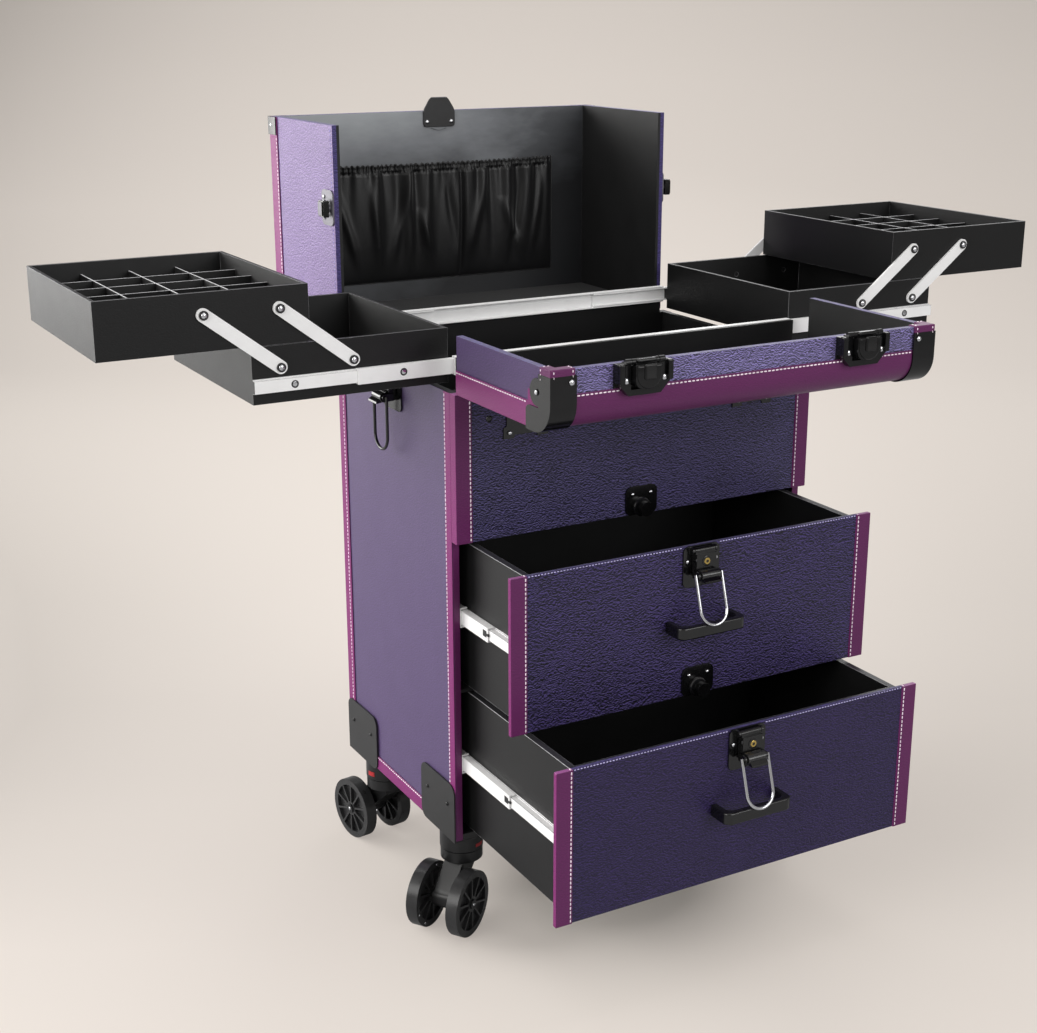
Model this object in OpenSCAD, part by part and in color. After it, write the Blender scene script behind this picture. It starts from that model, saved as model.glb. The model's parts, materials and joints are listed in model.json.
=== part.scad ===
/* [Cabinet] */
// Width over the corner trims
case_w = 360; // [330:1:400]
// Depth of the side panels, behind the fronts
case_d = 230; // [210:1:260]
// Height of the side panels
case_h = 403; // [385:1:440]
// Thickness of the case boards
board_t = 6; // [5:0.5:7]
// How far the leather trims stand off the boards
trim_t = 1; // [0.6:0.1:1.4]
// Thickness of the fixed upper front
front_t = 9.5; // [8:0.5:11]
// Height of the fixed upper front
upper_front_h = 126.4; // [118:0.2:140]
// Gap between one front and the next
front_gap = 1.4; // [1:0.1:2]
// Height of the rail under the lowest drawer front
plinth_h = 6; // [5:0.5:8]
// Width of the stitched trims at the cabinet's front corners
corner_trim_w = 11.5; // [9:0.5:20]
// Width of the stitched trims at the cabinet's rear corners
back_trim_w = 15; // [9:0.5:26]
// Width of the end trims on the fronts
end_trim_w = 15; // [9:0.5:18]
// Height of the trim along the foot of the side panels
foot_trim_h = 14; // [10:1:20]
// Height of the raised bin walls over the side panels
bin_wall_rise = 26.5; // [24:0.5:32]
// Thickness of the raised bin walls
bin_wall_t = 4; // [3:0.5:4.5]

/* [Drawers] */
// Thickness of the drawer fronts
drawer_front_t = 4.5; // [4:0.5:9]
// Depth of the drawer boxes
drawer_len = 205; // [180:1:215]
// Wall of the drawer boxes
drawer_wall = 6; // [4:0.5:8]
// Room for the drawer slides on each side
drawer_slide_room = 9; // [8:0.1:12]
// How far the upper drawer stands out
upper_drawer_out = 92; // [10:1:160]
// How far the lower drawer stands out
lower_drawer_out = 164; // [10:1:172]
// Width of the drawer handles
handle_w = 67; // [55:1:90]
// Reach of the drawer handles
handle_reach = 22; // [20:0.5:26]
// Height of the drawer handles' bar
handle_h = 10.5; // [8:0.5:14]
// Drop of the handle's top below the top edge of its front
handle_drop = 62.4; // [55:0.2:70]

/* [Trays] */
// Depth of the trays, front to back
tray_d = 196; // [170:1:197]
// Height of each tray
tray_h = 45; // [42:0.5:55]
// Wall of the trays
tray_wall = 3; // [2:0.2:4]
// Travel of the lower trays over the cabinet sides
tray_travel = 170.5; // [140:0.5:171]
// How far the upper tray stands out from the lower tray
link_throw = 118.5; // [100:0.5:122]
// Gap between the stacked trays
stack_gap = 0.5; // [0.3:0.1:1]
// Length between the two link pivots on a tray
link_spacing = 60.5; // [45:0.5:66]
// Width of the links
link_w = 10.6; // [8:0.2:11]
// Thickness of the links
link_t = 2; // [1.5:0.1:2.4]
// Thickness of the divider strips
divider_t = 1.2; // [1:0.1:2]
// Depth of the divider strips below the tray's rim
divider_drop = 10; // [6:1:16]

/* [Lid and flap] */
// Depth of the closed upper section, hinge line to top
lid_h = 151; // [140:1:165]
// Front to back length of the lid
lid_len = 195; // [180:1:195]
// How far the lid's sides stand in from the cabinet's trims
lid_inset = 3; // [2:0.5:8]
// Thickness of the lid and flap boards
lid_t = 7; // [5:0.5:7]
// Height of the flap's returns and front strip
flap_wall_h = 47.5; // [40:0.5:47.5]
// Radius of the flap's rounded edge
flap_edge_r = 22; // [14:1:26]
// Width of the lid pocket
pocket_w = 262; // [220:1:290]
// Height of the lid pocket
pocket_h = 117; // [95:1:125]
// Height of the pocket's lower edge over the hinge line
pocket_z = 26; // [20:1:34]
// How far the pocket stands off the lid
pocket_bulge = 13; // [11:0.5:18]

/* [Latches] */
// Width of the draw latch plates
latch_w = 36; // [32:0.5:42]
// Length of the draw latch plates
latch_len = 36; // [34:0.5:42]
// Diameter of the bail wire
bail_wire_d = 2.8; // [2.2:0.1:3.2]
// Length of the drawers' bails from the pivot to the bend's middle
bail_len = 42; // [38:0.5:46]
// Length of the side bails
side_bail_len = 47; // [38:0.5:50]
// Distance of the flap latches from the middle
flap_latch_x = 103.5; // [80:0.5:120]

/* [Casters] */
// Height of the casters, floor to cabinet
caster_h = 91; // [86:1:100]
// Diameter of the wheels
wheel_d = 60; // [50:1:60]
// Width of each wheel
wheel_w = 11; // [8:0.5:13]
// Distance between the twin wheels' middles
wheel_pitch = 40; // [36:0.5:44]
// Distance from the swivel axis to the axle
caster_trail = 27; // [20:0.5:28]
// Distance of the swivel axes in from the cabinet's sides
caster_inset = 20; // [20:1:40]
// Distance of the swivel axes in from the cabinet's ends
caster_end_inset = 34; // [31:1:45]

/* [Hidden] */
$fn = 48;
half_w = case_w / 2;
side_out = half_w - trim_t;
side_in = side_out - board_t;
front_in_y = -case_d / 2;
front_y = front_in_y - front_t;
back_y = case_d / 2;
case_mid_y = (front_y + back_y) / 2;
drawer_front_h = (case_h - upper_front_h - plinth_h - 2 * front_gap) / 2;
lower_front_z = plinth_h;
upper_front_z = plinth_h + drawer_front_h + front_gap;
fixed_front_z = case_h - upper_front_h;
shelf_t = 5;
handle_z = drawer_front_h - handle_drop - handle_h;
lid_w = case_w - 2 * lid_inset;
caster_x = half_w - caster_inset;
caster_y = case_d / 2 - caster_end_inset;

// Hinge lines of the lid and the flap, off the cabinet's faces and just over its top edge
hinge_off = 2;
hinge_rise = 1;
hinge_z = case_h + hinge_rise;
lid_hinge_y = back_y + hinge_off;
flap_hinge_y = front_y - hinge_off;
lid_in = lid_w / 2 - lid_t;
flap_in = half_w - lid_t;

// Telescopic slides: sheet thickness, nesting gap and seat on the moving box
rail_t = 1.2;
rail_nest = 0.2;
tray_rail_h = 15.4;
drawer_rail_h = 15.2;

bin_half = lid_in - 0.5;
tray_end_gap = 2;
tray_len = bin_half - 0.5 - tray_end_gap;
tray_z = case_h + 5;
tray_in_x = tray_end_gap + tray_travel;
tray_out_x = tray_in_x + tray_len;
bin_wall_y = lid_hinge_y - lid_t - 0.5 - bin_wall_t;
tray_rail_room = bin_wall_y - tray_d / 2;
tray_rail_z = case_h + bin_wall_rise + 0.5 - tray_rail_h / 2;
tray_bin_floor_z = fixed_front_z + shelf_t;

// The links: pivots' height in a tray, their places from the tray's outer end and their rise
pivot_h = 28;
pivot_a_in = 23;
pivot_b_in = pivot_a_in + link_spacing;
link_rise = tray_h + stack_gap;
link_y = tray_d / 2 + 0.4;
pivot_pin_r = 2.2;
pivot_gap = 0.08;
open_pivot_gap = 0.35;
rivet_r = 3.6;
rivet_t = 1.5;

drawer_half = side_in - drawer_slide_room;
drawer_box_z = 2;
drawer_box_drop = 2.2;

// Draw latch: plate, lever hinge and bail pivot, as depth off the plate's seat and drop from its top
plate_t = 1.6;
lever_half = 9.8;
lever_face = 9;
lever_back = 2.2;
lever_len = 22;
lever_hinge = [4.5, 3.3];
hinge_boss_r = 2.4;
latch_pin_r = 1.2;
lip_half = 8;
lip_reach = 20;
bail_pivot = [12.5, 23];
ear_t = 1.4;
ear_r = 3.2;
wire_r = bail_wire_d / 2;
bail_pin_r = wire_r - 0.2;
bail_half = lever_half + ear_t + 0.3 + wire_r;
pin_gap = 0.07;
bail_tilt = asin((handle_reach + trim_t + wire_r + 0.5 - bail_pivot[0]) / bail_len);

// Catch plate with its knob
catch_w = 32;
catch_h = 26;
knob_r = 6.5;
knob_z = 7;
knob_reach = 11.5;

// Flap latch
flap_latch_half = 23.5;
flap_latch_h = 24;
flap_latch_t = 6;
flap_lever_half = 11.6;
flap_lever_t = 12;
flap_lever_hinge = [5, 1.2];

// Caster
wheel_r = wheel_d / 2;
axle_z = wheel_r - caster_h;
axle_r = 3;
housing_r = 19.5;
housing_h = 20;
kingpin_r = 5;
cap_t = 1.2;

// The origin lies on the floor, under the middle of the object's reach from front to back
bail_reach = bail_pivot[0] - trim_t + bail_len * sin(bail_tilt) + wire_r;
front_reach = -front_y + lower_drawer_out + max(bail_reach, handle_reach);
keeper_reach = 5;
back_reach = lid_hinge_y + lid_h + keeper_reach;
case_y = (front_reach - back_reach) / 2;

purple = [0.24, 0.19, 0.37];
magenta = [0.45, 0.2, 0.42];
lining = [0.08, 0.08, 0.09];
black_metal = [0.05, 0.05, 0.05];
bright_metal = [0.85, 0.86, 0.87];
brass = [0.72, 0.58, 0.3];

// Placement and common shapes

module at_case() {
    translate([0, case_y, caster_h])
        children();
}

// A block from its low corner to its high corner
module block(low, high) {
    translate(low)
        cube(high - low);
}

module mirrored_x() {
    children();
    mirror([1, 0, 0])
        children();
}

module mirrored_y() {
    children();
    mirror([0, 1, 0])
        children();
}

// Square with round corners, centred
module round_rect(w, h, r) {
    square([w - 2 * r, h], center = true);
    square([w, h - 2 * r], center = true);
    for (sx = [-1, 1], sy = [-1, 1])
        translate([sx * (w / 2 - r), sy * (h / 2 - r)])
            circle(r);
}

// Rod along X, centred
module rod_x(r, len) {
    rotate([0, 90, 0])
        cylinder(r = r, h = len, center = true);
}

// Rod along Y from y0 to y1
module rod_y(r, y0, y1) {
    translate([0, y1, 0])
        rotate([90, 0, 0])
            cylinder(r = r, h = y1 - y0);
}

// Extrudes a profile drawn as [y, z] along X from x0 to x1
module along_x(x0, x1) {
    translate([x0, 0, 0])
        rotate([90, 0, 90])
            linear_extrude(x1 - x0)
                children();
}

// Frame of a drawer: origin at the middle of its front's lower edge, on the outer face
module on_drawer(z0, out) {
    at_case()
        translate([0, front_y - out, z0])
            children();
}

// Frame of a side latch or side catch: outward becomes -Y
module on_side(side, x, y, z) {
    at_case()
        translate([side * x, y, z])
            rotate([0, 0, side * 90])
                children();
}

// Telescopic slides, drawn as [distance from the fixed wall, height]

module slide_fixed(room, h) {
    translate([0, -h / 2])
        square([rail_t, h]);
    for (s = [-1, 1])
        translate([0, s * (h - rail_t) / 2 - rail_t / 2])
            square([room - rail_t - 0.5, rail_t]);
}

module slide_mid(room, h) {
    mid_h = h - 2 * rail_t - 2 * rail_nest;
    base = rail_t + rail_nest;
    translate([base, -mid_h / 2])
        square([rail_t, mid_h]);
    for (s = [-1, 1])
        translate([base, s * (mid_h - rail_t) / 2 - rail_t / 2])
            square([room - rail_t - 0.3 - base, rail_t]);
}

module slide_inner(room, h) {
    mid_h = h - 2 * rail_t - 2 * rail_nest;
    base = 2 * (rail_t + rail_nest);
    translate([base, -mid_h / 2 + rail_t + rail_nest])
        square([room - base, mid_h - 2 * rail_t - 2 * rail_nest]);
    translate([room - rail_t, -mid_h / 2 + 0.6])
        square([rail_t, mid_h - 1.2]);
}

// A drawer slide member on the side x < 0, running back from y0
module drawer_slide(y0, len) {
    translate([-side_in, y0 + len, drawer_front_h / 2])
        rotate([90, 0, 0])
            linear_extrude(len)
                children();
}

// A tray slide member at the front wall, from x0 to x1
module tray_slide(x0, x1) {
    translate([0, -bin_wall_y, tray_rail_z])
        along_x(x0, x1)
            children();
}

// Cabinet boards

module side_panels() {
    color(purple)
        at_case()
            mirrored_x()
                block([side_in, front_in_y, 0], [side_out, back_y, case_h]);
}

module back_panel() {
    color(purple)
        at_case()
            block([-side_in, back_y - board_t, 0], [side_in, back_y, case_h]);
}

module bottom_panel() {
    color(lining)
        at_case()
            block([-side_in, front_in_y, 0], [side_in, back_y - board_t, plinth_h]);
}

// Board of a front with its end trims, in the frame of on_drawer
module front_board(h, t) {
    color(purple)
        block([-side_out, trim_t, 0], [side_out, t, h]);
    color(magenta)
        mirrored_x() {
            block([half_w - end_trim_w, 0, 0], [half_w, trim_t, h]);
            block([side_out, trim_t, 0], [half_w, t, h]);
        }
}

module front_panel() {
    on_drawer(fixed_front_z, 0)
        front_board(upper_front_h, front_t);
}

module bin_walls() {
    color(lining)
        at_case() {
            mirrored_y()
                block([-bin_half, bin_wall_y, case_h],
                      [bin_half, bin_wall_y + bin_wall_t, case_h + bin_wall_rise]);
            block([-side_in, front_in_y, tray_bin_floor_z], [side_in, -bin_wall_y, case_h]);
            block([-side_in, bin_wall_y, tray_bin_floor_z], [side_in, back_y - board_t, case_h]);
        }
}

module shelf_boards() {
    color(lining)
        at_case() {
            block([-side_in, front_in_y, fixed_front_z], [side_in, back_y - board_t, tray_bin_floor_z]);
            translate([0, 0, upper_front_z - front_gap])
                block([-side_in, front_in_y, 0], [side_in, back_y - board_t, drawer_box_z + front_gap - 0.6]);
        }
}

module cabinet_trims() {
    color(magenta)
        at_case()
            mirrored_x() {
                block([side_out, front_in_y, 0], [half_w, front_in_y + corner_trim_w, case_h]);
                block([side_out, back_y - back_trim_w, 0], [half_w, back_y, case_h]);
                block([side_out, front_in_y + corner_trim_w, 0],
                      [half_w, back_y - back_trim_w, foot_trim_h]);
            }
}

// Bottom corner guard: plate on the side, turned under the cabinet
guard_w = 66;
guard_h = 54;
guard_r = 9;
guard_t = 1.4;
guard_under = 26;
guard_screw_z = 32;
screw_r = 1.9;

module corner_guard() {
    along_x(half_w, half_w + guard_t) {
        translate([guard_w / 2, guard_h / 2 - guard_t])
            round_rect(guard_w, guard_h, guard_r);
        translate([0, -guard_t])
            square([guard_w / 2, guard_r]);
    }
    block([half_w - guard_under, 0, -guard_t], [half_w, guard_w - guard_r, 0]);
    for (y = [guard_w / 5, guard_w * 4 / 5])
        translate([half_w + guard_t, y, guard_screw_z])
            rod_x(screw_r, 1.2);
}

module corner_guards() {
    color(black_metal)
        at_case()
            mirrored_x() {
                translate([0, front_in_y, 0])
                    corner_guard();
                translate([0, back_y, 0])
                    mirror([0, 1, 0])
                        corner_guard();
            }
}

module tray_rails() {
    color(bright_metal)
        at_case()
            mirrored_y()
                tray_slide(-bin_half, bin_half)
                    slide_fixed(tray_rail_room, tray_rail_h);
}

drawer_rail_y = 2;
drawer_rail_len = drawer_len;

module drawer_rails() {
    color(bright_metal)
        for (z0 = [lower_front_z, upper_front_z])
            on_drawer(z0, 0)
                mirrored_x()
                    drawer_slide(front_t + drawer_rail_y, drawer_rail_len)
                        slide_fixed(drawer_slide_room, drawer_rail_h);
}

// Catch and latch pieces, drawn with the seat at y = 0 and outward along -Y

module catch_plate() {
    difference() {
        translate([0, 0, catch_h / 2])
            rotate([90, 0, 0])
                linear_extrude(plate_t)
                    round_rect(catch_w, catch_h, 6);
        block([-catch_w, -plate_t - 1, -1], [catch_w, 1, 0.4]);
    }
    translate([0, 0, knob_z]) {
        rod_y(3.4, 0.4 - knob_reach, -plate_t);
        rod_y(knob_r, -knob_reach, 5 - knob_reach);
    }
    for (s = [-1, 1])
        translate([s * 9.3, 0, catch_h - 7])
            rod_y(screw_r, -plate_t - 0.8, -plate_t);
}

module latch_plate() {
    translate([0, 0, -latch_len / 2])
        rotate([90, 0, 0])
            linear_extrude(plate_t)
                round_rect(latch_w, latch_len, 5);
    for (s = [-1, 1]) {
        translate([s * 14.2, 0, -13])
            rod_y(screw_r, -plate_t - 0.8, -plate_t);
        difference() {
            union() {
                translate([s * (lever_half + 1.4), -lever_hinge[0], -lever_hinge[1]])
                    rod_x(2.6, 2);
                translate([s * (lever_half + 1.4) - 1, -lever_hinge[0], -lever_hinge[1] - 2.6])
                    cube([2, lever_hinge[0] - plate_t / 2, 5.2]);
            }
            translate([0, -lever_hinge[0], -lever_hinge[1]])
                rod_x(latch_pin_r + pin_gap, latch_w);
        }
    }
}

// Lever with its hinge pin, lip and the two ears that carry the bail
module latch_lever() {
    foot = -bail_pivot[1] - ear_r;
    lip = [[lever_back, 1 - lever_len], [lever_face, 3 - lever_len], [bail_pivot[0] + 0.5, 0.5 - lever_len],
           [lip_reach, foot], [lip_reach + 0.3, foot - 1.6], [lip_reach - 1, foot - 1.6],
           [lever_face + 2, foot - 0.4], [lever_back, foot - 0.4]];
    color(black_metal) {
        block([-lever_half, -lever_face, -lever_len], [lever_half, -lever_back, -lever_hinge[1] - hinge_boss_r]);
        block([-lever_half, 2 - lever_face, -lever_hinge[1] - hinge_boss_r - 0.1],
              [lever_half, -lever_back, -lever_hinge[1]]);
        translate([0, -lever_hinge[0], -lever_hinge[1]]) {
            rod_x(hinge_boss_r, 2 * lever_half);
            rod_x(latch_pin_r, 2 * lever_half + 4.6);
        }
        mirror([0, 1, 0])
            along_x(-lip_half, lip_half)
                polygon(lip);
        for (s = [-1, 1])
            difference() {
                translate([s * (lever_half + ear_t / 2 - 0.05), 0, 0])
                    union() {
                        translate([0, -bail_pivot[0], -bail_pivot[1]])
                            rod_x(ear_r, ear_t + 0.1);
                        block([-ear_t / 2 - 0.05, -bail_pivot[0], -bail_pivot[1] - ear_r],
                              [ear_t / 2 + 0.05, 4 - lever_face, -bail_pivot[1] + ear_r]);
                    }
                translate([0, -bail_pivot[0], -bail_pivot[1]])
                    rod_x(bail_pin_r + pin_gap, 4 * lever_half);
            }
    }
    color(brass)
        translate([0, 0, -12])
            rod_y(3.2, -lever_face - 0.9, -lever_face);
}

// Wire bail hanging from its pivot, leaning outward by tilt
module latch_bail(tilt, len) {
    straight = len - bail_half;
    color(bright_metal)
        translate([0, -bail_pivot[0], -bail_pivot[1]])
            rotate([-tilt, 0, 0]) {
                translate([0, 0, -straight])
                    rotate([-90, 0, 0])
                        rotate_extrude(angle = 180)
                            translate([bail_half, 0])
                                circle(wire_r);
                for (s = [-1, 1]) {
                    translate([s * bail_half, 0, -straight])
                        cylinder(r = wire_r, h = straight + wire_r);
                    translate([s * (bail_half + lever_half + 0.1) / 2, 0, 0])
                        rod_x(bail_pin_r, bail_half - lever_half - 0.1);
                }
            }
}

// Hinges, drawn at the cabinet's top edge with the seat at y = 0 and outward along -Y
hinge_x = 115;
hinge_w = 42;
leaf_t = 1.6;
leaf_foot = 5;
leaf_waist = 3;
knuckle_r = 2.1;
knuckle_half = 7;
hinge_pin_r = 1.2;

// Cabinet leaf with the middle knuckle and the pin, drawn in at its foot between the rivets
module fixed_leaf(off, drop) {
    rotate([90, 0, 0])
        linear_extrude(leaf_t)
            difference() {
                translate([-hinge_w / 2, -drop])
                    square([hinge_w, drop - 1.5]);
                translate([0, -drop])
                    round_rect(hinge_w - 4 * leaf_foot, 2 * leaf_waist, 2);
                for (s = [-1, 1])
                    translate([s * hinge_w / 2, -drop / 2])
                        round_rect(2 * leaf_waist, drop - 4 * leaf_foot, 2);
            }
    block([-knuckle_half, -off - 1.2, -2], [knuckle_half, 0, hinge_rise - 0.6]);
    translate([0, -off, hinge_rise]) {
        rod_x(knuckle_r, 2 * knuckle_half);
        rod_x(hinge_pin_r, hinge_w);
    }
    for (s = [-1, 1])
        translate([s * (hinge_w / 2 - leaf_foot), 0, leaf_foot - drop])
            rod_y(screw_r, -leaf_t - 0.8, -leaf_t);
}

// Moving leaf, drawn on its hinge line, with the board's face at y = seat
module moving_leaf(seat, reach) {
    difference() {
        union() {
            block([-hinge_w / 2, seat - leaf_t, 4], [hinge_w / 2, seat, reach]);
            mirrored_x() {
                block([knuckle_half + 0.4, seat - leaf_t, 0], [hinge_w / 2, seat, 5]);
                translate([(knuckle_half + 0.4 + hinge_w / 2) / 2, 0, 0])
                    rod_x(knuckle_r, hinge_w / 2 - knuckle_half - 0.4);
            }
        }
        rod_x(hinge_pin_r + pin_gap, hinge_w + 2);
    }
    for (s = [-1, 1])
        translate([s * (hinge_w / 2 - 6), 0, reach - 5])
            rod_y(screw_r, seat - leaf_t - 0.8, seat - leaf_t);
}

// Room for the knuckles in a board's edge
module hinge_notches() {
    mirrored_x()
        translate([hinge_x, 0, 0])
            rod_x(knuckle_r + 0.5, hinge_w + 1);
}

front_leaf_drop = 42;
back_leaf_drop = 30;

module case_hardware() {
    color(black_metal) {
        on_drawer(fixed_front_z, -trim_t)
            catch_plate();
        for (side = [-1, 1])
            on_side(side, side_out, case_mid_y, case_h)
                latch_plate();
        at_case()
            mirrored_x() {
                translate([hinge_x, front_y + trim_t, case_h])
                    fixed_leaf(hinge_off + trim_t, front_leaf_drop);
                translate([hinge_x, back_y, case_h])
                    rotate([0, 0, 180])
                        fixed_leaf(hinge_off, back_leaf_drop);
            }
    }
}

// Casters, each drawn at its swivel axis under the cabinet

module at_caster(sx, sy) {
    at_case()
        translate([sx * caster_x, case_mid_y + sy * caster_y, 0])
            children();
}

module caster_housings() {
    color(black_metal)
        for (sx = [-1, 1], sy = [-1, 1])
            difference() {
                at_caster(sx, sy)
                    translate([0, 0, -housing_h])
                        cylinder(r = housing_r, h = housing_h);
                at_case()
                    mirrored_x()
                        block([half_w - guard_under, front_in_y, -guard_t], [half_w, back_y, 1]);
                at_caster(sx, sy)
                    translate([0, 0, -housing_h - 1])
                        cylinder(r = kingpin_r + pin_gap, h = housing_h - 4);
            }
}

// Fork with kingpin, arm, axle and axle caps; the axle lies along X and trails towards -Y
module caster_fork(sx, sy, yaw) {
    arm_half = 9;
    boss_r = 9.5;
    top = -housing_h - 0.5;
    neck = top - 10;
    arm = [[12, neck + 1], [-14, neck + 1], [-caster_trail - 6, axle_z + 10], [-caster_trail - boss_r, axle_z],
           [-caster_trail, axle_z - boss_r], [-caster_trail + boss_r, axle_z], [12, neck - 6]];
    color(black_metal)
        at_caster(sx, sy)
            rotate([0, 0, yaw]) {
                translate([0, 0, top - 0.2])
                    cylinder(r = kingpin_r, h = housing_h - 6);
                translate([0, 0, neck])
                    cylinder(r = housing_r - 0.5, h = top - neck);
                along_x(-arm_half, arm_half)
                    polygon(arm);
                translate([0, -caster_trail, axle_z]) {
                    rod_x(boss_r, 2 * arm_half + 4);
                    rod_x(axle_r, wheel_pitch + wheel_w + 2 * cap_t + 0.6);
                    for (s = [-1, 1])
                        translate([s * (wheel_pitch / 2 + wheel_w / 2 + 0.3 + cap_t / 2), 0, 0])
                            rod_x(4.6, cap_t);
                }
            }
}

// One wheel on X, its outer face towards +X
spokes = 10;
wheel_rim = 6;
wheel_hub_r = 7;
recess = 3.5;

module wheel() {
    difference() {
        rod_x(wheel_r, wheel_w);
        for (s = [-1, 1])
            difference() {
                translate([s * (wheel_w - recess) / 2, 0, 0])
                    rod_x(wheel_r - wheel_rim, recess + 0.01);
                rod_x(wheel_hub_r, wheel_w + 1);
                for (k = [1 : spokes])
                    rotate([k * 360 / spokes, 0, 0])
                        block([-wheel_w, -0.9, 0], [wheel_w, 0.9, wheel_r]);
            }
        rod_x(axle_r + pin_gap, wheel_w + 2);
    }
}

module caster_wheels(sx, sy, yaw) {
    color(black_metal)
        at_caster(sx, sy)
            rotate([0, 0, yaw])
                translate([0, -caster_trail, axle_z])
                    mirrored_x()
                        translate([wheel_pitch / 2, 0, 0])
                            wheel();
}

yaw_fl = -56;
yaw_fr = -20;
yaw_rl = 189;
yaw_rr = 150;

module caster_fork_fl() {
    caster_fork(-1, -1, yaw_fl);
}

module caster_fork_fr() {
    caster_fork(1, -1, yaw_fr);
}

module caster_fork_rl() {
    caster_fork(-1, 1, yaw_rl);
}

module caster_fork_rr() {
    caster_fork(1, 1, yaw_rr);
}

module caster_wheels_fl() {
    caster_wheels(-1, -1, yaw_fl);
}

module caster_wheels_fr() {
    caster_wheels(1, -1, yaw_fr);
}

module caster_wheels_rl() {
    caster_wheels(-1, 1, yaw_rl);
}

module caster_wheels_rr() {
    caster_wheels(1, 1, yaw_rr);
}

// Lid, drawn closed with its hinge line at the origin, and turned open behind the cabinet

module on_lid() {
    at_case()
        translate([0, lid_hinge_y, hinge_z])
            rotate([-90, 0, 0])
                children();
}

module lid_shell() {
    color(purple)
        on_lid()
            difference() {
                block([-lid_w / 2, -lid_len, 0], [lid_w / 2, 0, lid_h]);
                block([-lid_in, -lid_len - 1, -1], [lid_in, -lid_t, lid_h - lid_t]);
                hinge_notches();
            }
}

lid_trim_w = 18;

module lid_trims() {
    color(magenta)
        on_lid()
            mirrored_x() {
                block([lid_w / 2, -lid_len, lid_h - lid_trim_w], [lid_w / 2 + trim_t, 0, lid_h + trim_t]);
                block([lid_w / 2 - lid_trim_w, -lid_len, lid_h], [lid_w / 2, 0, lid_h + trim_t]);
                block([lid_w / 2, -lid_trim_w, 0], [lid_w / 2 + trim_t, 0, lid_h - lid_trim_w]);
            }
}

// Tongue that reaches under the flap's strip, catches of the side latches, keepers and corner guards
tongue_t = 2;
tongue_half = 17.5;
tongue_r = 16;
tongue_reach = 13;
tongue_seat = 16;
lid_guard = 17;

module lid_hardware() {
    color(black_metal)
        on_lid() {
            translate([0, -lid_len, lid_h - lid_t - tongue_t])
                linear_extrude(tongue_t) {
                    translate([0, tongue_r - tongue_reach])
                        scale([tongue_half / tongue_r, 1])
                            circle(tongue_r);
                    translate([-tongue_half, tongue_r - tongue_reach])
                        square([2 * tongue_half, tongue_seat + tongue_reach - tongue_r]);
                }
            for (s = [-1, 1])
                translate([s * (tongue_half - 4), 11 - lid_len, lid_h - lid_t - tongue_t - 1])
                    cylinder(r = screw_r, h = 1);
            mirrored_x()
                translate([lid_w / 2, case_mid_y - lid_hinge_y, 0])
                    rotate([0, 0, 90])
                        catch_plate();
            mirrored_x()
                translate([flap_latch_x, -lid_len + 3, lid_h]) {
                    block([-16, 0, 0], [16, 15, plate_t]);
                    block([-10, 2, 0], [10, 5, keeper_reach]);
                }
            mirrored_x() {
                block([lid_w / 2 + trim_t, -lid_len, lid_h - lid_guard],
                      [lid_w / 2 + trim_t + 1.2, lid_guard - lid_len, lid_h + trim_t]);
                block([lid_w / 2 - lid_guard, -lid_len, lid_h + trim_t],
                      [lid_w / 2 + trim_t + 1.2, lid_guard - lid_len, lid_h + trim_t + 1.2]);
            }
        }
}

lid_leaf_reach = 30;

module lid_hinges() {
    color(black_metal)
        on_lid()
            mirrored_x()
                translate([hinge_x, 0, 0])
                    rotate([0, 0, 180])
                        moving_leaf(0, lid_leaf_reach);
}

// Gathered pocket on the lid's inner face: a thin folded sheet, sewn at its foot, sides and seam
pocket_cols = 60;
pocket_rows = 8;
pocket_t = 1.2;
pocket_seam_x = 20;
pocket_fold = 2.2;
pocket_folds = 13;

function pocket_stand(u, v) =
    let (x = (u - 0.5) * pocket_w,
         sides = pow(max(0, 1 - pow(abs(2 * u - 1), 6)), 0.5),
         seam = 1 - 0.8 * exp(-pow((x - pocket_seam_x) / 9, 2)),
         rise = pow(sin(min(90, v * 110)), 0.6),
         fold = pocket_fold * sin(360 * pocket_folds * u + 70 * sin(400 * u)) * min(1, 2.5 * v))
    0.3 + sides * seam * rise * (pocket_bulge * (1 - 0.2 * v) + fold);

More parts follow.
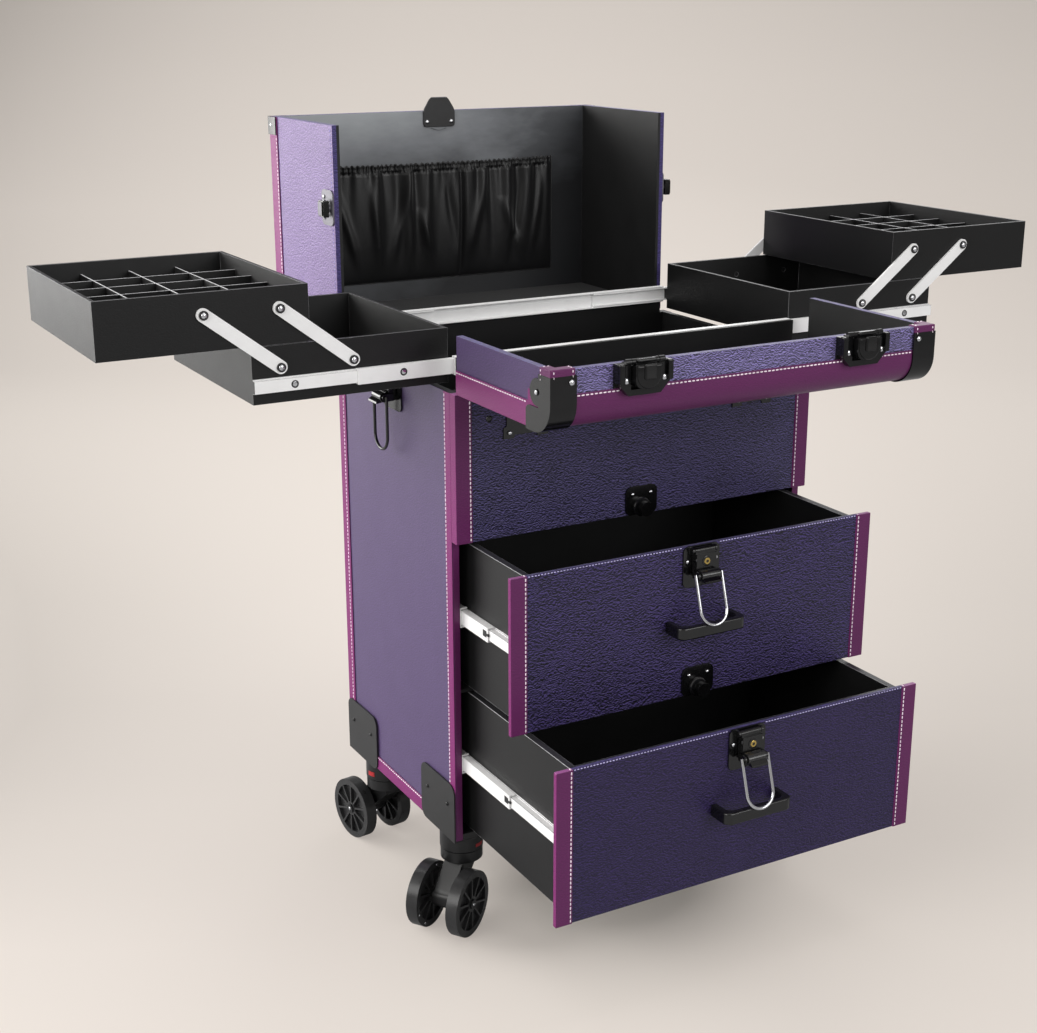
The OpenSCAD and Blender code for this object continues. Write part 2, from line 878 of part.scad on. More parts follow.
module lid_pocket() {
    cols = pocket_cols;
    rows = pocket_rows;
    sheet = (cols + 1) * (rows + 1);
    points = [for (side = [0, 1], j = [0 : rows], i = [0 : cols])
        [(i / cols - 0.5) * pocket_w,
         -pocket_stand(i / cols, j / rows) - (side == 0 ? pocket_t : 0),
         j / rows * pocket_h]];
    function at(side, i, j) = side * sheet + j * (cols + 1) + i;
    front = [for (j = [0 : rows - 1], i = [0 : cols - 1], f = [0, 1])
        f == 0 ? [at(0, i, j), at(0, i, j + 1), at(0, i + 1, j + 1)]
               : [at(0, i, j), at(0, i + 1, j + 1), at(0, i + 1, j)]];
    back = [for (j = [0 : rows - 1], i = [0 : cols - 1], f = [0, 1])
        f == 0 ? [at(1, i, j), at(1, i + 1, j + 1), at(1, i, j + 1)]
               : [at(1, i, j), at(1, i + 1, j), at(1, i + 1, j + 1)]];
    foot_top = [for (i = [0 : cols - 1], f = [0, 1, 2, 3])
        f == 0 ? [at(0, i, 0), at(0, i + 1, 0), at(1, i + 1, 0)]
        : f == 1 ? [at(0, i, 0), at(1, i + 1, 0), at(1, i, 0)]
        : f == 2 ? [at(0, i, rows), at(1, i + 1, rows), at(0, i + 1, rows)]
        : [at(0, i, rows), at(1, i, rows), at(1, i + 1, rows)]];
    ends = [for (j = [0 : rows - 1], f = [0, 1, 2, 3])
        f == 0 ? [at(0, 0, j), at(1, 0, j), at(1, 0, j + 1)]
        : f == 1 ? [at(0, 0, j), at(1, 0, j + 1), at(0, 0, j + 1)]
        : f == 2 ? [at(0, cols, j), at(1, cols, j + 1), at(1, cols, j)]
        : [at(0, cols, j), at(0, cols, j + 1), at(1, cols, j + 1)]];
    color(lining)
        at_case()
            translate([0, lid_hinge_y + lid_h - lid_t, hinge_z + pocket_z])
                polyhedron(points, concat(front, back, foot_top, ends));
}

// Flap, drawn closed with its hinge line at the origin, and turned open in front of the cabinet

module on_flap() {
    at_case()
        translate([0, flap_hinge_y, hinge_z])
            rotate([90, 0, 0])
                children();
}

// Side outline of the flap with its rounded edge, as [y, z], moved inwards by inset
module flap_profile(inset) {
    translate([inset, 0])
        square([flap_wall_h - inset, lid_h - flap_edge_r]);
    translate([flap_edge_r, 0])
        square([flap_wall_h - flap_edge_r, lid_h - inset]);
    translate([flap_edge_r, lid_h - flap_edge_r])
        circle(flap_edge_r - inset);
}

module flap_shell() {
    color(purple)
        on_flap()
            difference() {
                along_x(-side_out, side_out)
                    flap_profile(trim_t);
                along_x(-flap_in, flap_in)
                    flap_profile(lid_t);
                block([-flap_in, lid_t, -1], [flap_in, flap_wall_h + 1, lid_h - flap_edge_r]);
                block([-flap_in, flap_edge_r, -1], [flap_in, flap_wall_h + 1, lid_h - lid_t]);
                hinge_notches();
            }
}

edge_trim_y = 29;
edge_trim_z = 34;
return_trim_y = 20;

module flap_edge_trim() {
    color(magenta)
        on_flap()
            intersection() {
                difference() {
                    along_x(-half_w, half_w)
                        flap_profile(0);
                    along_x(-side_out, side_out)
                        flap_profile(trim_t);
                }
                union() {
                    block([-half_w, 0, lid_h - edge_trim_z], [half_w, edge_trim_y, lid_h]);
                    mirrored_x()
                        block([side_out, 0, 0], [half_w, return_trim_y, lid_h]);
                }
            }
}

flap_guard_w = 21;
flap_guard_y = 43;
flap_guard_z = 34.5;
flap_guard_foot = 17.5;
flap_ear = [29, 18];
flap_ear_r = 10.5;

// Side plate of the guard: a foot along the flap's floor and a round ear behind the front
module flap_guard_side() {
    translate([flap_guard_foot / 2 - 3, lid_h - flap_guard_z / 2 + 3])
        round_rect(flap_guard_foot + 6, flap_guard_z + 6, 5);
    translate([flap_ear[0], lid_h - flap_ear[1]])
        circle(flap_ear_r);
    translate([-guard_t, lid_h - flap_ear[1] + 2])
        square([flap_guard_y + guard_t, flap_ear[1] - 2 + guard_t]);
}

module flap_corner_guards() {
    color(black_metal)
        on_flap()
            mirrored_x() {
                intersection() {
                    difference() {
                        along_x(half_w - flap_guard_w, half_w + guard_t)
                            flap_profile(-guard_t);
                        along_x(0, half_w)
                            flap_profile(0);
                    }
                    union() {
                        block([0, -guard_t, lid_h - flap_guard_z], [half_w, flap_guard_y, lid_h + guard_t]);
                        along_x(half_w, half_w + guard_t)
                            flap_guard_side();
                    }
                }
                translate([half_w + guard_t, flap_ear[0], lid_h - flap_ear[1]])
                    rod_x(2.4, 1.6);
                translate([half_w - flap_guard_w + 4.5, flap_guard_y - 5, lid_h + guard_t])
                    cylinder(r = 2.2, h = 0.8);
            }
}

// Frame of a flap latch: at the flap's rim, -Y runs away from the rim and +Z is outward
module on_flap_latch(side) {
    on_flap()
        translate([side * flap_latch_x, flap_wall_h, lid_h])
            children();
}

flap_lever_len = 16.7;
flap_lever_gap = 1.3;
flap_window = flap_lever_half + 0.5;

module flap_latch_base() {
    outline = [[-flap_latch_half, 0], [flap_latch_half, 0], [flap_latch_half, -14], [14, -flap_latch_h],
               [-14, -flap_latch_h], [-flap_latch_half, -14]];
    difference() {
        union() {
            linear_extrude(flap_latch_t)
                polygon(outline);
            block([-flap_latch_half, edge_trim_y + 0.1 - flap_wall_h, -trim_t], [flap_latch_half, 0, 0]);
            mirrored_x() {
                translate([flap_window + 2.5, flap_lever_hinge[1], flap_lever_hinge[0]])
                    rod_x(2.4, 5);
                block([flap_window, -1, 0], [flap_window + 5, flap_lever_hinge[1], 5]);
                translate([16.5, -12.5, flap_latch_t])
                    cylinder(r = 2.4, h = 1);
            }
        }
        block([-flap_window, -flap_lever_len - 2.8, 0.6], [flap_window, 5, 20]);
        translate([0, flap_lever_hinge[1], flap_lever_hinge[0]])
            rod_x(1.2 + pin_gap, 2 * flap_latch_half);
    }
}

flap_leaf_reach = 34;

module flap_hardware() {
    color(black_metal) {
        for (side = [-1, 1])
            on_flap_latch(side)
                flap_latch_base();
        on_flap()
            mirrored_x()
                translate([hinge_x, 0, 0])
                    moving_leaf(trim_t, flap_leaf_reach);
    }
}

module flap_lever(side) {
    color(black_metal)
        on_flap_latch(side) {
            translate([0, 0, 1])
                linear_extrude(flap_lever_t - 1) {
                    translate([0, -flap_lever_gap - flap_lever_len / 2])
                        round_rect(2 * flap_lever_half, flap_lever_len, 6);
                    translate([-flap_lever_half, -flap_lever_gap - flap_lever_len / 2])
                        square([2 * flap_lever_half, flap_lever_len / 2]);
                }
            translate([0, flap_lever_hinge[1], flap_lever_hinge[0]]) {
                rod_x(2.3, 2 * flap_lever_half);
                rod_x(1.2, 2 * (flap_window + 5));
                block([-9, -3.4, -2.2], [9, 0, 2.2]);
            }
        }
}

module flap_lever_left() {
    flap_lever(-1);
}

module flap_lever_right() {
    flap_lever(1);
}

// Drawers

drawer_floor = 5;

module drawer_box(z0, out) {
    box_top = drawer_front_h - drawer_box_drop;
    color(lining)
        on_drawer(z0, out)
            difference() {
                block([-drawer_half, drawer_front_t, drawer_box_z],
                      [drawer_half, drawer_front_t + drawer_len, box_top]);
                block([drawer_wall - drawer_half, drawer_front_t + drawer_wall, drawer_box_z + drawer_floor],
                      [drawer_half - drawer_wall, drawer_front_t + drawer_len - drawer_wall, box_top + 1]);
            }
    color(bright_metal)
        on_drawer(z0, out)
            mirrored_x()
                drawer_slide(drawer_front_t + drawer_rail_y, drawer_rail_len - drawer_rail_y)
                    slide_inner(drawer_slide_room, drawer_rail_h);
}

module drawer_mids(z0, out) {
    color(bright_metal)
        on_drawer(z0, out / 2)
            mirrored_x()
                drawer_slide((drawer_front_t + front_t) / 2 + drawer_rail_y, drawer_rail_len - drawer_rail_y)
                    slide_mid(drawer_slide_room, drawer_rail_h);
}

handle_bar = 6;
handle_r = 7;

module drawer_handle(z0, out) {
    depth = handle_reach + trim_t;
    color(black_metal)
        on_drawer(z0, out)
            translate([0, trim_t, handle_z])
                linear_extrude(handle_h)
                    difference() {
                        round_rect(handle_w, 2 * depth, handle_r);
                        round_rect(handle_w - 2 * handle_bar, 2 * (depth - handle_bar), handle_r - 2);
                        translate([-handle_w, 0])
                            square([2 * handle_w, 2 * depth]);
                    }
}

// Frame of a drawer's latch, on the board's face at its top edge
module on_drawer_latch(z0, out) {
    on_drawer(z0, out - trim_t)
        translate([0, 0, drawer_front_h])
            children();
}

module drawer_box_upper() {
    drawer_box(upper_front_z, upper_drawer_out);
}

module drawer_front_upper() {
    on_drawer(upper_front_z, upper_drawer_out)
        front_board(drawer_front_h, drawer_front_t);
}

module drawer_handle_upper() {
    drawer_handle(upper_front_z, upper_drawer_out);
}

module drawer_latch_upper() {
    color(black_metal) {
        on_drawer_latch(upper_front_z, upper_drawer_out)
            latch_plate();
        on_drawer(upper_front_z, upper_drawer_out - trim_t)
            catch_plate();
    }
}

module drawer_lever_upper() {
    on_drawer_latch(upper_front_z, upper_drawer_out)
        latch_lever();
}

module drawer_bail_upper() {
    on_drawer_latch(upper_front_z, upper_drawer_out)
        latch_bail(bail_tilt, bail_len);
}

module drawer_mids_upper() {
    drawer_mids(upper_front_z, upper_drawer_out);
}

module drawer_box_lower() {
    drawer_box(lower_front_z, lower_drawer_out);
}

module drawer_front_lower() {
    on_drawer(lower_front_z, lower_drawer_out)
        front_board(drawer_front_h, drawer_front_t);
}

module drawer_handle_lower() {
    drawer_handle(lower_front_z, lower_drawer_out);
}

module drawer_latch_lower() {
    color(black_metal)
        on_drawer_latch(lower_front_z, lower_drawer_out)
            latch_plate();
}

module drawer_lever_lower() {
    on_drawer_latch(lower_front_z, lower_drawer_out)
        latch_lever();
}

module drawer_bail_lower() {
    on_drawer_latch(lower_front_z, lower_drawer_out)
        latch_bail(bail_tilt, bail_len);
}

module drawer_mids_lower() {
    drawer_mids(lower_front_z, lower_drawer_out);
}

// Side latches

module side_lever(side) {
    on_side(side, side_out, case_mid_y, case_h)
        latch_lever();
}

module side_bail(side) {
    on_side(side, side_out, case_mid_y, case_h)
        latch_bail(0, side_bail_len);
}

module side_lever_left() {
    side_lever(-1);
}

module side_bail_left() {
    side_bail(-1);
}

module side_lever_right() {
    side_lever(1);
}

module side_bail_right() {
    side_bail(1);
}

// Trays, drawn for the left side and mirrored for the right

tray_floor = 2.5;
upper_tray_x = tray_out_x + link_throw;
upper_tray_z = tray_z + link_rise;
pivot_a_x = tray_out_x - pivot_a_in;
pivot_b_x = tray_out_x - pivot_b_in;

// Tray box with its outer end at x = -x_out and its pivot bores at the places given from that end
module tray_box(x_out, z, pivots) {
    color(lining)
        at_case()
            translate([-x_out, 0, z])
                difference() {
                    block([0, -tray_d / 2, 0], [tray_len, tray_d / 2, tray_h]);
                    block([tray_wall, tray_wall - tray_d / 2, tray_floor],
                          [tray_len - tray_wall, tray_d / 2 - tray_wall, tray_h + 1]);
                    for (p = pivots)
                        translate([p[0], 0, pivot_h]) {
                            rod_y(pivot_pin_r + p[1], -tray_d, 0);
                            rod_y(pivot_pin_r + p[1], 0, tray_d);
                        }
                }
}

module lower_tray() {
    tray_box(tray_out_x, tray_z, [[pivot_a_in, pivot_gap], [pivot_b_in, pivot_gap]]);
    color(bright_metal)
        at_case()
            mirrored_y()
                tray_slide(-tray_out_x, -tray_in_x)
                    slide_inner(tray_rail_room, tray_rail_h);
}

cells_x = 4;
cells_y = 5;

divider_gap = 0.2;

// One divider strip along X from the origin, halved into count crossing strips at the pitch given
module divider_strip(len, count, pitch, slot_z) {
    h = tray_h - divider_drop - tray_floor - divider_gap;
    difference() {
        block([0, -divider_t / 2, 0], [len, divider_t / 2, h]);
        for (i = [1 : count])
            block([i * pitch - divider_t / 2 - 2 * divider_gap, -divider_t, slot_z * h],
                  [i * pitch + divider_t / 2, divider_t, (slot_z + 0.5) * h + divider_gap]);
    }
}

module tray_dividers() {
    pitch_x = (tray_len - 2 * tray_wall) / cells_x;
    pitch_y = (tray_d - 2 * tray_wall) / cells_y;
    len_x = tray_len - 2 * tray_wall - 2 * divider_gap;
    len_y = tray_d - 2 * tray_wall - 2 * divider_gap;
    color(lining)
        at_case()
            translate([tray_wall + divider_gap - upper_tray_x, tray_wall + divider_gap - tray_d / 2,
                       upper_tray_z + tray_floor + divider_gap]) {
                for (i = [1 : cells_x - 1])
                    translate([i * pitch_x - divider_gap, 0, 0])
                        rotate([0, 0, 90])
                            divider_strip(len_y, cells_y - 1, pitch_y, 0.5);
                for (j = [1 : cells_y - 1])
                    translate([0, j * pitch_y - divider_gap, 0])
                        divider_strip(len_x, cells_x - 1, pitch_x, 0 - divider_gap / tray_h);
            }
}

module upper_tray() {
    tray_box(upper_tray_x, upper_tray_z,
             [[pivot_a_in + link_throw / 2, pivot_gap], [pivot_b_in + link_throw / 2, open_pivot_gap]]);
    tray_dividers();
}

module tray_mids() {
    color(bright_metal)
        at_case()
            mirrored_y()
                tray_slide(tray_travel / 2 - tray_out_x, tray_travel / 2 - tray_in_x)
                    slide_mid(tray_rail_room, tray_rail_h);
}

// Front and back link from the lower pivot at x = -x_low
module tray_links(x_low) {
    length = norm([link_throw / 2, link_rise]);
    swing = atan2(link_rise, -link_throw / 2);
    color(bright_metal)
        at_case()
            mirrored_y()
                translate([-x_low, -link_y, tray_z + pivot_h])
                    rotate([0, -swing, 0]) {
                        rotate([90, 0, 0])
                            linear_extrude(link_t) {
                                translate([0, -link_w / 2])
                                    square([length, link_w]);
                                for (x = [0, length])
                                    translate([x, 0])
                                        circle(link_w / 2);
                            }
                        for (x = [0, length])
                            translate([x, 0, 0]) {
                                rod_y(pivot_pin_r, -link_t, link_y - tray_d / 2 + tray_wall - 0.3);
                                rod_y(rivet_r, -link_t - rivet_t, -link_t);
                            }
                    }
}

module on_right() {
    mirror([1, 0, 0])
        children();
}

module lower_tray_left() {
    lower_tray();
}

module upper_tray_left() {
    upper_tray();
}

module tray_mids_left() {
    tray_mids();
}

module tray_link_a_left() {
    tray_links(pivot_a_x);
}

module tray_link_b_left() {
    tray_links(pivot_b_x);
}

module lower_tray_right() {
    on_right()
        lower_tray();
}

module upper_tray_right() {
    on_right()
        upper_tray();
}

module tray_mids_right() {
    on_right()
        tray_mids();
}

module tray_link_a_right() {
    on_right()
        tray_links(pivot_a_x);
}

module tray_link_b_right() {
    on_right()
        tray_links(pivot_b_x);
}

side_panels();
back_panel();
bottom_panel();
front_panel();
bin_walls();
shelf_boards();
cabinet_trims();
corner_guards();
tray_rails();
drawer_rails();
case_hardware();
caster_housings();
lid_shell();
lid_trims();
lid_hardware();
lid_pocket();
lid_hinges();
flap_shell();
flap_edge_trim();
flap_corner_guards();
flap_hardware();
flap_lever_left();
flap_lever_right();
drawer_box_upper();
drawer_front_upper();
drawer_handle_upper();
drawer_latch_upper();
drawer_lever_upper();
drawer_bail_upper();
drawer_mids_upper();
drawer_box_lower();
drawer_front_lower();
drawer_handle_lower();
drawer_latch_lower();
drawer_lever_lower();
drawer_bail_lower();
drawer_mids_lower();
side_lever_left();
side_bail_left();
side_lever_right();
side_bail_right();
lower_tray_left();
upper_tray_left();
tray_mids_left();
tray_link_a_left();
tray_link_b_left();
lower_tray_right();
upper_tray_right();
tray_mids_right();
tray_link_a_right();
tray_link_b_right();
caster_fork_fl();
caster_fork_fr();
caster_fork_rl();
caster_fork_rr();
caster_wheels_fl();
caster_wheels_fr();
caster_wheels_rl();
caster_wheels_rr();
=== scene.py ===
import bpy
import bmesh
import math
import random
from mathutils import Vector, Matrix
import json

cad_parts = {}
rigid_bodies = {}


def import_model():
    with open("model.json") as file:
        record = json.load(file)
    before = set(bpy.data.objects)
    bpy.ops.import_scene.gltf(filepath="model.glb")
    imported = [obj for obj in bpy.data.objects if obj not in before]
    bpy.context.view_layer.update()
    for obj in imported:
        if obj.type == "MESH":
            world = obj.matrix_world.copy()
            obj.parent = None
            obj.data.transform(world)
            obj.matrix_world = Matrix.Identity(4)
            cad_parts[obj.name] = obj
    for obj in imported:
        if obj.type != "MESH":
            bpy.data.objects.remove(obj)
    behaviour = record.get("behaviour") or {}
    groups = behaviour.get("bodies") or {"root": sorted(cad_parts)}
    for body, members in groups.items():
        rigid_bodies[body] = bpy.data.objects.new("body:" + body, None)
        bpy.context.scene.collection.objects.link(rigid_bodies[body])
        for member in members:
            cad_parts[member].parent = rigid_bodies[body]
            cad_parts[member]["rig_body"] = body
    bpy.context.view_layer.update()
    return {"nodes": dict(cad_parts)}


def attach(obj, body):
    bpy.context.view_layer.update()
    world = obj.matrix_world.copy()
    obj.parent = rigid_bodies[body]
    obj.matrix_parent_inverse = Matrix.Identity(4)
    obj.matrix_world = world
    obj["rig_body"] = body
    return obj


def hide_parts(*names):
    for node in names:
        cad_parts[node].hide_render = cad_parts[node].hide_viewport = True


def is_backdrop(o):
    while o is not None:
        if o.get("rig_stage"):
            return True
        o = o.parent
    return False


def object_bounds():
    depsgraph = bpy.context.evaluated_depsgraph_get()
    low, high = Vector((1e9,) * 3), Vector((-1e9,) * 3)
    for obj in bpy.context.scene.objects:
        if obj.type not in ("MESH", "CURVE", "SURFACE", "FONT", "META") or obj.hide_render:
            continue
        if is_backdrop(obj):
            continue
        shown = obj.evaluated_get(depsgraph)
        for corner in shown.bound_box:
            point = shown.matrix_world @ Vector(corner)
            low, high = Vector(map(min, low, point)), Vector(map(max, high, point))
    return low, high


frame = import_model()
nodes = frame["nodes"]
random.seed(7)

# Sizes of the case in mm, with X from its middle plane, Y from the cabinet's middle and Z from the
# cabinet's underside. LIFT and CASE_Y take that place to the floor and to the frame's origin.
LIFT = 91.0
CASE_Y = 20.4
# Cabinet: half its width over the trims and over the side panels, the front edges of its sides, the
# fronts' faces, its back, its top, the fixed front's lower edge and the middle of its side latches
HALF = 180.0
SIDE = 179.0
FRONT_IN = -115.0
FRONT = -124.5
BACK = 115.0
TOP = 403.0
FIXED_Z = 276.6
MID_Y = -4.75
# Lid and flap: hinge lines, depth, half the lid's width over its walls, the binding's inner edge,
# the lid's back and the face of its lining, the tongue's foot, and the flap's rim, front face and
# latches as it lies open
HINGE_Z = 404.0
LID_Y = 117.0
FLAP_Y = -126.5
LID_H = 151.0
LID_HALF = 177
LID_BINDING = 172.8
LID_BACK = LID_Y + LID_H
LINING_Y = LID_Y + 144
TONGUE_Z = HINGE_Z + 179
RIM_Z = HINGE_Z + 47.5
FLAP_FRONT = FLAP_Y - LID_H
FLAP_LATCH_X = 103.5
# Drawers: height of a front, width of its end trims, half a box, and (lower edge, way out) of each
FRONT_H = 133.9
END_TRIM = 15.0
BOX_HALF = 164.0
DRAWERS = {"upper": (141.3, 92.0), "lower": (6.0, 164.0)}
# Draw latches and catches: plate's thickness, its rivets from the middle and from the top edge, and
# the lever's barrel from the face and from the top edge; the catch plates' rivets from the middle
# and from the foot, and their knobs from the foot
PLATE = 2.3
RIVET_X = 14.2
RIVET_DROP = 13
BARREL_OUT = 12.5
BARREL_DROP = 23
CATCH_X = 9.3
CATCH_UP = 19
KNOB_UP = 7
# Casters: swivel axes from the middle, the axle's trail and its height
CASTER_X = 160
CASTER_Y = 81
TRAIL = 27
AXLE_Z = -61
# Edges sharper than this are rounded. The thickness of the leather trims, and how far threads stand
# off a board's face and off a trim on it
SHARP = math.radians(28)
TRIM = 1.0
PROUD = 0.02
ON_TRIM = TRIM + PROUD
SIDES = (("left", -1), ("right", 1))


def at(x, y, z):
    """A point of the case in mm, as a place in the scene in metres."""
    return Vector((x, y + CASE_Y, z + LIFT)) / 1000.0


# Camera, solved from the photograph, and light
FOCAL = 1650.33
PHOTO_WIDTH = 1037
AZ, EL = math.radians(-28.96), math.radians(17.32)
ROLL = math.radians(-0.13)

cam = bpy.data.objects.new("camera", bpy.data.cameras.new("camera"))
bpy.context.scene.collection.objects.link(cam)
cam.data.sensor_width = 36.0
cam.data.lens = FOCAL / PHOTO_WIDTH * 36
cam.data.clip_end = 50
cam.location = at(-759.4, -1276.3, 703.4)
back = Vector((math.sin(AZ) * math.cos(EL), -math.cos(AZ) * math.cos(EL), math.sin(EL)))
cam.rotation_mode = "QUATERNION"
turn = back.to_track_quat("Z", "Y")
cam.rotation_quaternion = turn @ Matrix.Rotation(ROLL, 3, "Z").to_quaternion()
bpy.context.scene.camera = cam
bpy.context.scene.view_settings.view_transform = "Standard"


def lamp(name, place, aim, size, power, colour=(1, 1, 1)):
    data = bpy.data.lights.new(name, "AREA")
    data.shape = "RECTANGLE"
    data.size, data.size_y = size
    data.energy = power
    data.color = colour
    o = bpy.data.objects.new(name, data)
    bpy.context.scene.collection.objects.link(o)
    o.location = place
    o.visible_camera = False
    o.rotation_euler = (Vector(aim) - Vector(place)).to_track_quat("-Z", "Y").to_euler()


WARM = (1, 0.99, 0.97)
CASE_MIDDLE = (0, 0, 0.4)
lamp("rear_left", (-1.9, 1.9, 1.0), CASE_MIDDLE, (2.4, 1.7), 80, WARM)
lamp("left", (-2.6, -0.8, 1.5), CASE_MIDDLE, (1.6, 1.6), 27, WARM)
lamp("front", (0.8, -2.8, 1.6), (0, 0, 0.3), (2.0, 1.6), 36)
lamp("top", (0.1, 0.3, 2.7), CASE_MIDDLE, (2.2, 1.6), 26)
lamp("rear_right", (1.9, 1.8, 1.6), CASE_MIDDLE, (1.5, 1.2), 12)

# The world lights the case softly, and the camera sees it in the backdrop's own colour
world = bpy.data.worlds.new("world")
bpy.context.scene.world = world
world.use_nodes = True
sky = world.node_tree.nodes
sky["Background"].inputs["Color"].default_value = (0.93, 0.9, 0.87, 1)
sky["Background"].inputs["Strength"].default_value = 0.4
seen = sky.new("ShaderNodeBackground")
seen.inputs["Color"].default_value = (0.63, 0.57, 0.525, 1)
which = sky.new("ShaderNodeMixShader")
ray = sky.new("ShaderNodeLightPath")
join = world.node_tree.links.new
join(ray.outputs["Is Camera Ray"], which.inputs["Fac"])
join(sky["Background"].outputs["Background"], which.inputs[1])
join(seen.outputs["Background"], which.inputs[2])
join(which.outputs["Shader"], sky["World Output"].inputs["Surface"])


# Materials

def srgb(r, g, b):
    """A colour from 0 to 255, as a shader takes it."""
    def lin(c):
        c = c / 255.0
        return c / 12.92 if c <= 0.04045 else ((c + 0.055) / 1.055) ** 2.4
    return (lin(r), lin(g), lin(b), 1.0)


class Mat:
    """A small helper round one node material."""

    def __init__(self, name, colour, rough=0.5, metal=0.0, spec=0.5):
        self.m = bpy.data.materials.new(name)
        self.m.use_nodes = True
        self.t = self.m.node_tree
        self.b = self.t.nodes["Principled BSDF"]
        self.b.inputs["Base Color"].default_value = colour
        self.b.inputs["Roughness"].default_value = rough
        self.b.inputs["Metallic"].default_value = metal
        self.b.inputs["Specular IOR Level"].default_value = spec
        self.m.diffuse_color = colour
        self.place = self.add("ShaderNodeTexCoord").outputs["Object"]

    def add(self, kind, **kw):
        n = self.t.nodes.new(kind)
        for k, v in kw.items():
            if k in n.inputs:
                n.inputs[k].default_value = v
            else:
                setattr(n, k, v)
        return n

    def link(self, a, b):
        self.t.links.new(a, b)

    def scaled(self, sx, sy, sz):
        n = self.add("ShaderNodeMapping")
        n.inputs["Scale"].default_value = (sx, sy, sz)
        self.link(self.place, n.inputs["Vector"])
        return n.outputs["Vector"]

    def noise(self, vec, scale, detail, rough=0.55):
        n = self.add("ShaderNodeTexNoise", Scale=scale, Detail=detail, Roughness=rough)
        self.link(vec, n.inputs["Vector"])
        return n.outputs["Fac"]

    def cells(self, vec, scale):
        n = self.add("ShaderNodeTexVoronoi", feature="SMOOTH_F1")
        n.inputs["Scale"].default_value = scale
        self.link(vec, n.inputs["Vector"])
        return n.outputs["Distance"]

    def maths(self, op, a, b=0.0, c=None):
        n = self.add("ShaderNodeMath", operation=op)
        for i, v in enumerate((a, b, c)):
            if v is None:
                continue
            if hasattr(v, "is_output"):
                self.link(v, n.inputs[i])
            else:
                n.inputs[i].default_value = v
        return n.outputs[0]

    def ramp(self, fac, stops):
        n = self.add("ShaderNodeValToRGB")
        while len(n.color_ramp.elements) < len(stops):
            n.color_ramp.elements.new(0.5)
        for e, (p, c) in zip(n.color_ramp.elements, stops):
            e.position = p
            e.color = c if hasattr(c, "__len__") else (c, c, c, 1)
        self.link(fac, n.inputs["Fac"])
        return n.outputs["Color"]

    def colour_by(self, fac, stops):
        self.link(self.ramp(fac, stops), self.b.inputs["Base Color"])

    def rough_by(self, fac, lo, hi):
        n = self.add("ShaderNodeMapRange")
        n.inputs["To Min"].default_value = lo
        n.inputs["To Max"].default_value = hi
        self.link(fac, n.inputs["Value"])
        self.link(n.outputs["Result"], self.b.inputs["Roughness"])

    def bump(self, height, strength, dist):
        n = self.add("ShaderNodeBump")
        n.inputs["Strength"].default_value = strength
        n.inputs["Distance"].default_value = dist
        self.link(height, n.inputs["Height"])
        self.link(n.outputs["Normal"], self.b.inputs["Normal"])


def tone(c, k):
    return (c[0] * k, c[1] * k, c[2] * k, 1.0)


def leather(name, colour, grain, rough, depth, contrast, haze=0.15, spec=0.4):
    """Pebbled leatherette: long, wavy pebbles, with a painted highlight over each crest and painted
    shade under it, as if lit from above.
    """
    m = Mat(name, colour, rough, 0.0, spec)
    warp = m.add("ShaderNodeTexNoise", Scale=130.0, Detail=2.0)
    m.link(m.place, warp.inputs["Vector"])
    push = m.add("ShaderNodeVectorMath", operation="SCALE")
    m.link(warp.outputs["Color"], push.inputs[0])
    push.inputs["Scale"].default_value = 0.005
    moved = m.add("ShaderNodeVectorMath", operation="ADD")
    m.link(m.place, moved.inputs[0])
    m.link(push.outputs["Vector"], moved.inputs[1])

    def pebbles(lift):
        n = m.add("ShaderNodeMapping")
        n.inputs["Scale"].default_value = (0.55, 0.55, 1.0)
        n.inputs["Location"].default_value = (0, 0, lift)
        m.link(moved.outputs["Vector"], n.inputs["Vector"])
        dome = m.maths("MULTIPLY_ADD", m.cells(n.outputs["Vector"], grain), -0.75, 0.55)
        return m.maths("MULTIPLY_ADD", m.noise(n.outputs["Vector"], grain * 1.1, 2), 0.55, dome)

    h = pebbles(0.0)
    m.bump(h, depth, 0.0004)
    broad = m.noise(m.place, 30, 4)
    # Where a pebble's face looks up, its colour is painted paler, and where it looks down, darker:
    # painted highlight and painted shade.
    painted_relief_light = m.maths("MULTIPLY_ADD", m.maths("SUBTRACT", h, pebbles(0.35 / grain)), 3.0, 0.35)
    shade = m.maths("MULTIPLY_ADD", broad, 0.3, painted_relief_light)
    dark, pale = tone(colour, 1 - 0.5 * contrast), tone(colour, 1 + 1.2 * contrast)
    m.colour_by(shade, [(0.2, dark), (0.5, colour), (0.8, pale)])
    m.rough_by(broad, rough + 0.06, rough - 0.04)
    m.b.inputs["Sheen Weight"].default_value = haze
    m.b.inputs["Sheen Roughness"].default_value = 0.45
    return m.m


def satin(name, colour, rough, thread, sheen, depth=0.25):
    """Fine woven threads under soft clouds."""
    m = Mat(name, colour, rough)
    w = m.add("ShaderNodeTexWave", Scale=thread * 0.35, Distortion=1.5)
    w.inputs["Detail"].default_value = 2
    w.bands_direction = "Z"
    m.link(m.place, w.inputs["Vector"])
    cloud = m.noise(m.place, 26, 4)
    fine = m.noise(m.place, thread, 2)
    h = m.maths("ADD", m.maths("MULTIPLY", w.outputs["Fac"], 0.5), fine)
    m.bump(h, depth, 0.00012)
    m.colour_by(cloud, [(0.3, tone(colour, 0.8)), (0.7, tone(colour, 1.25))])
    m.rough_by(cloud, rough - 0.08, rough + 0.08)
    m.b.inputs["Sheen Weight"].default_value = sheen
    m.b.inputs["Sheen Roughness"].default_value = 0.35
    return m.m


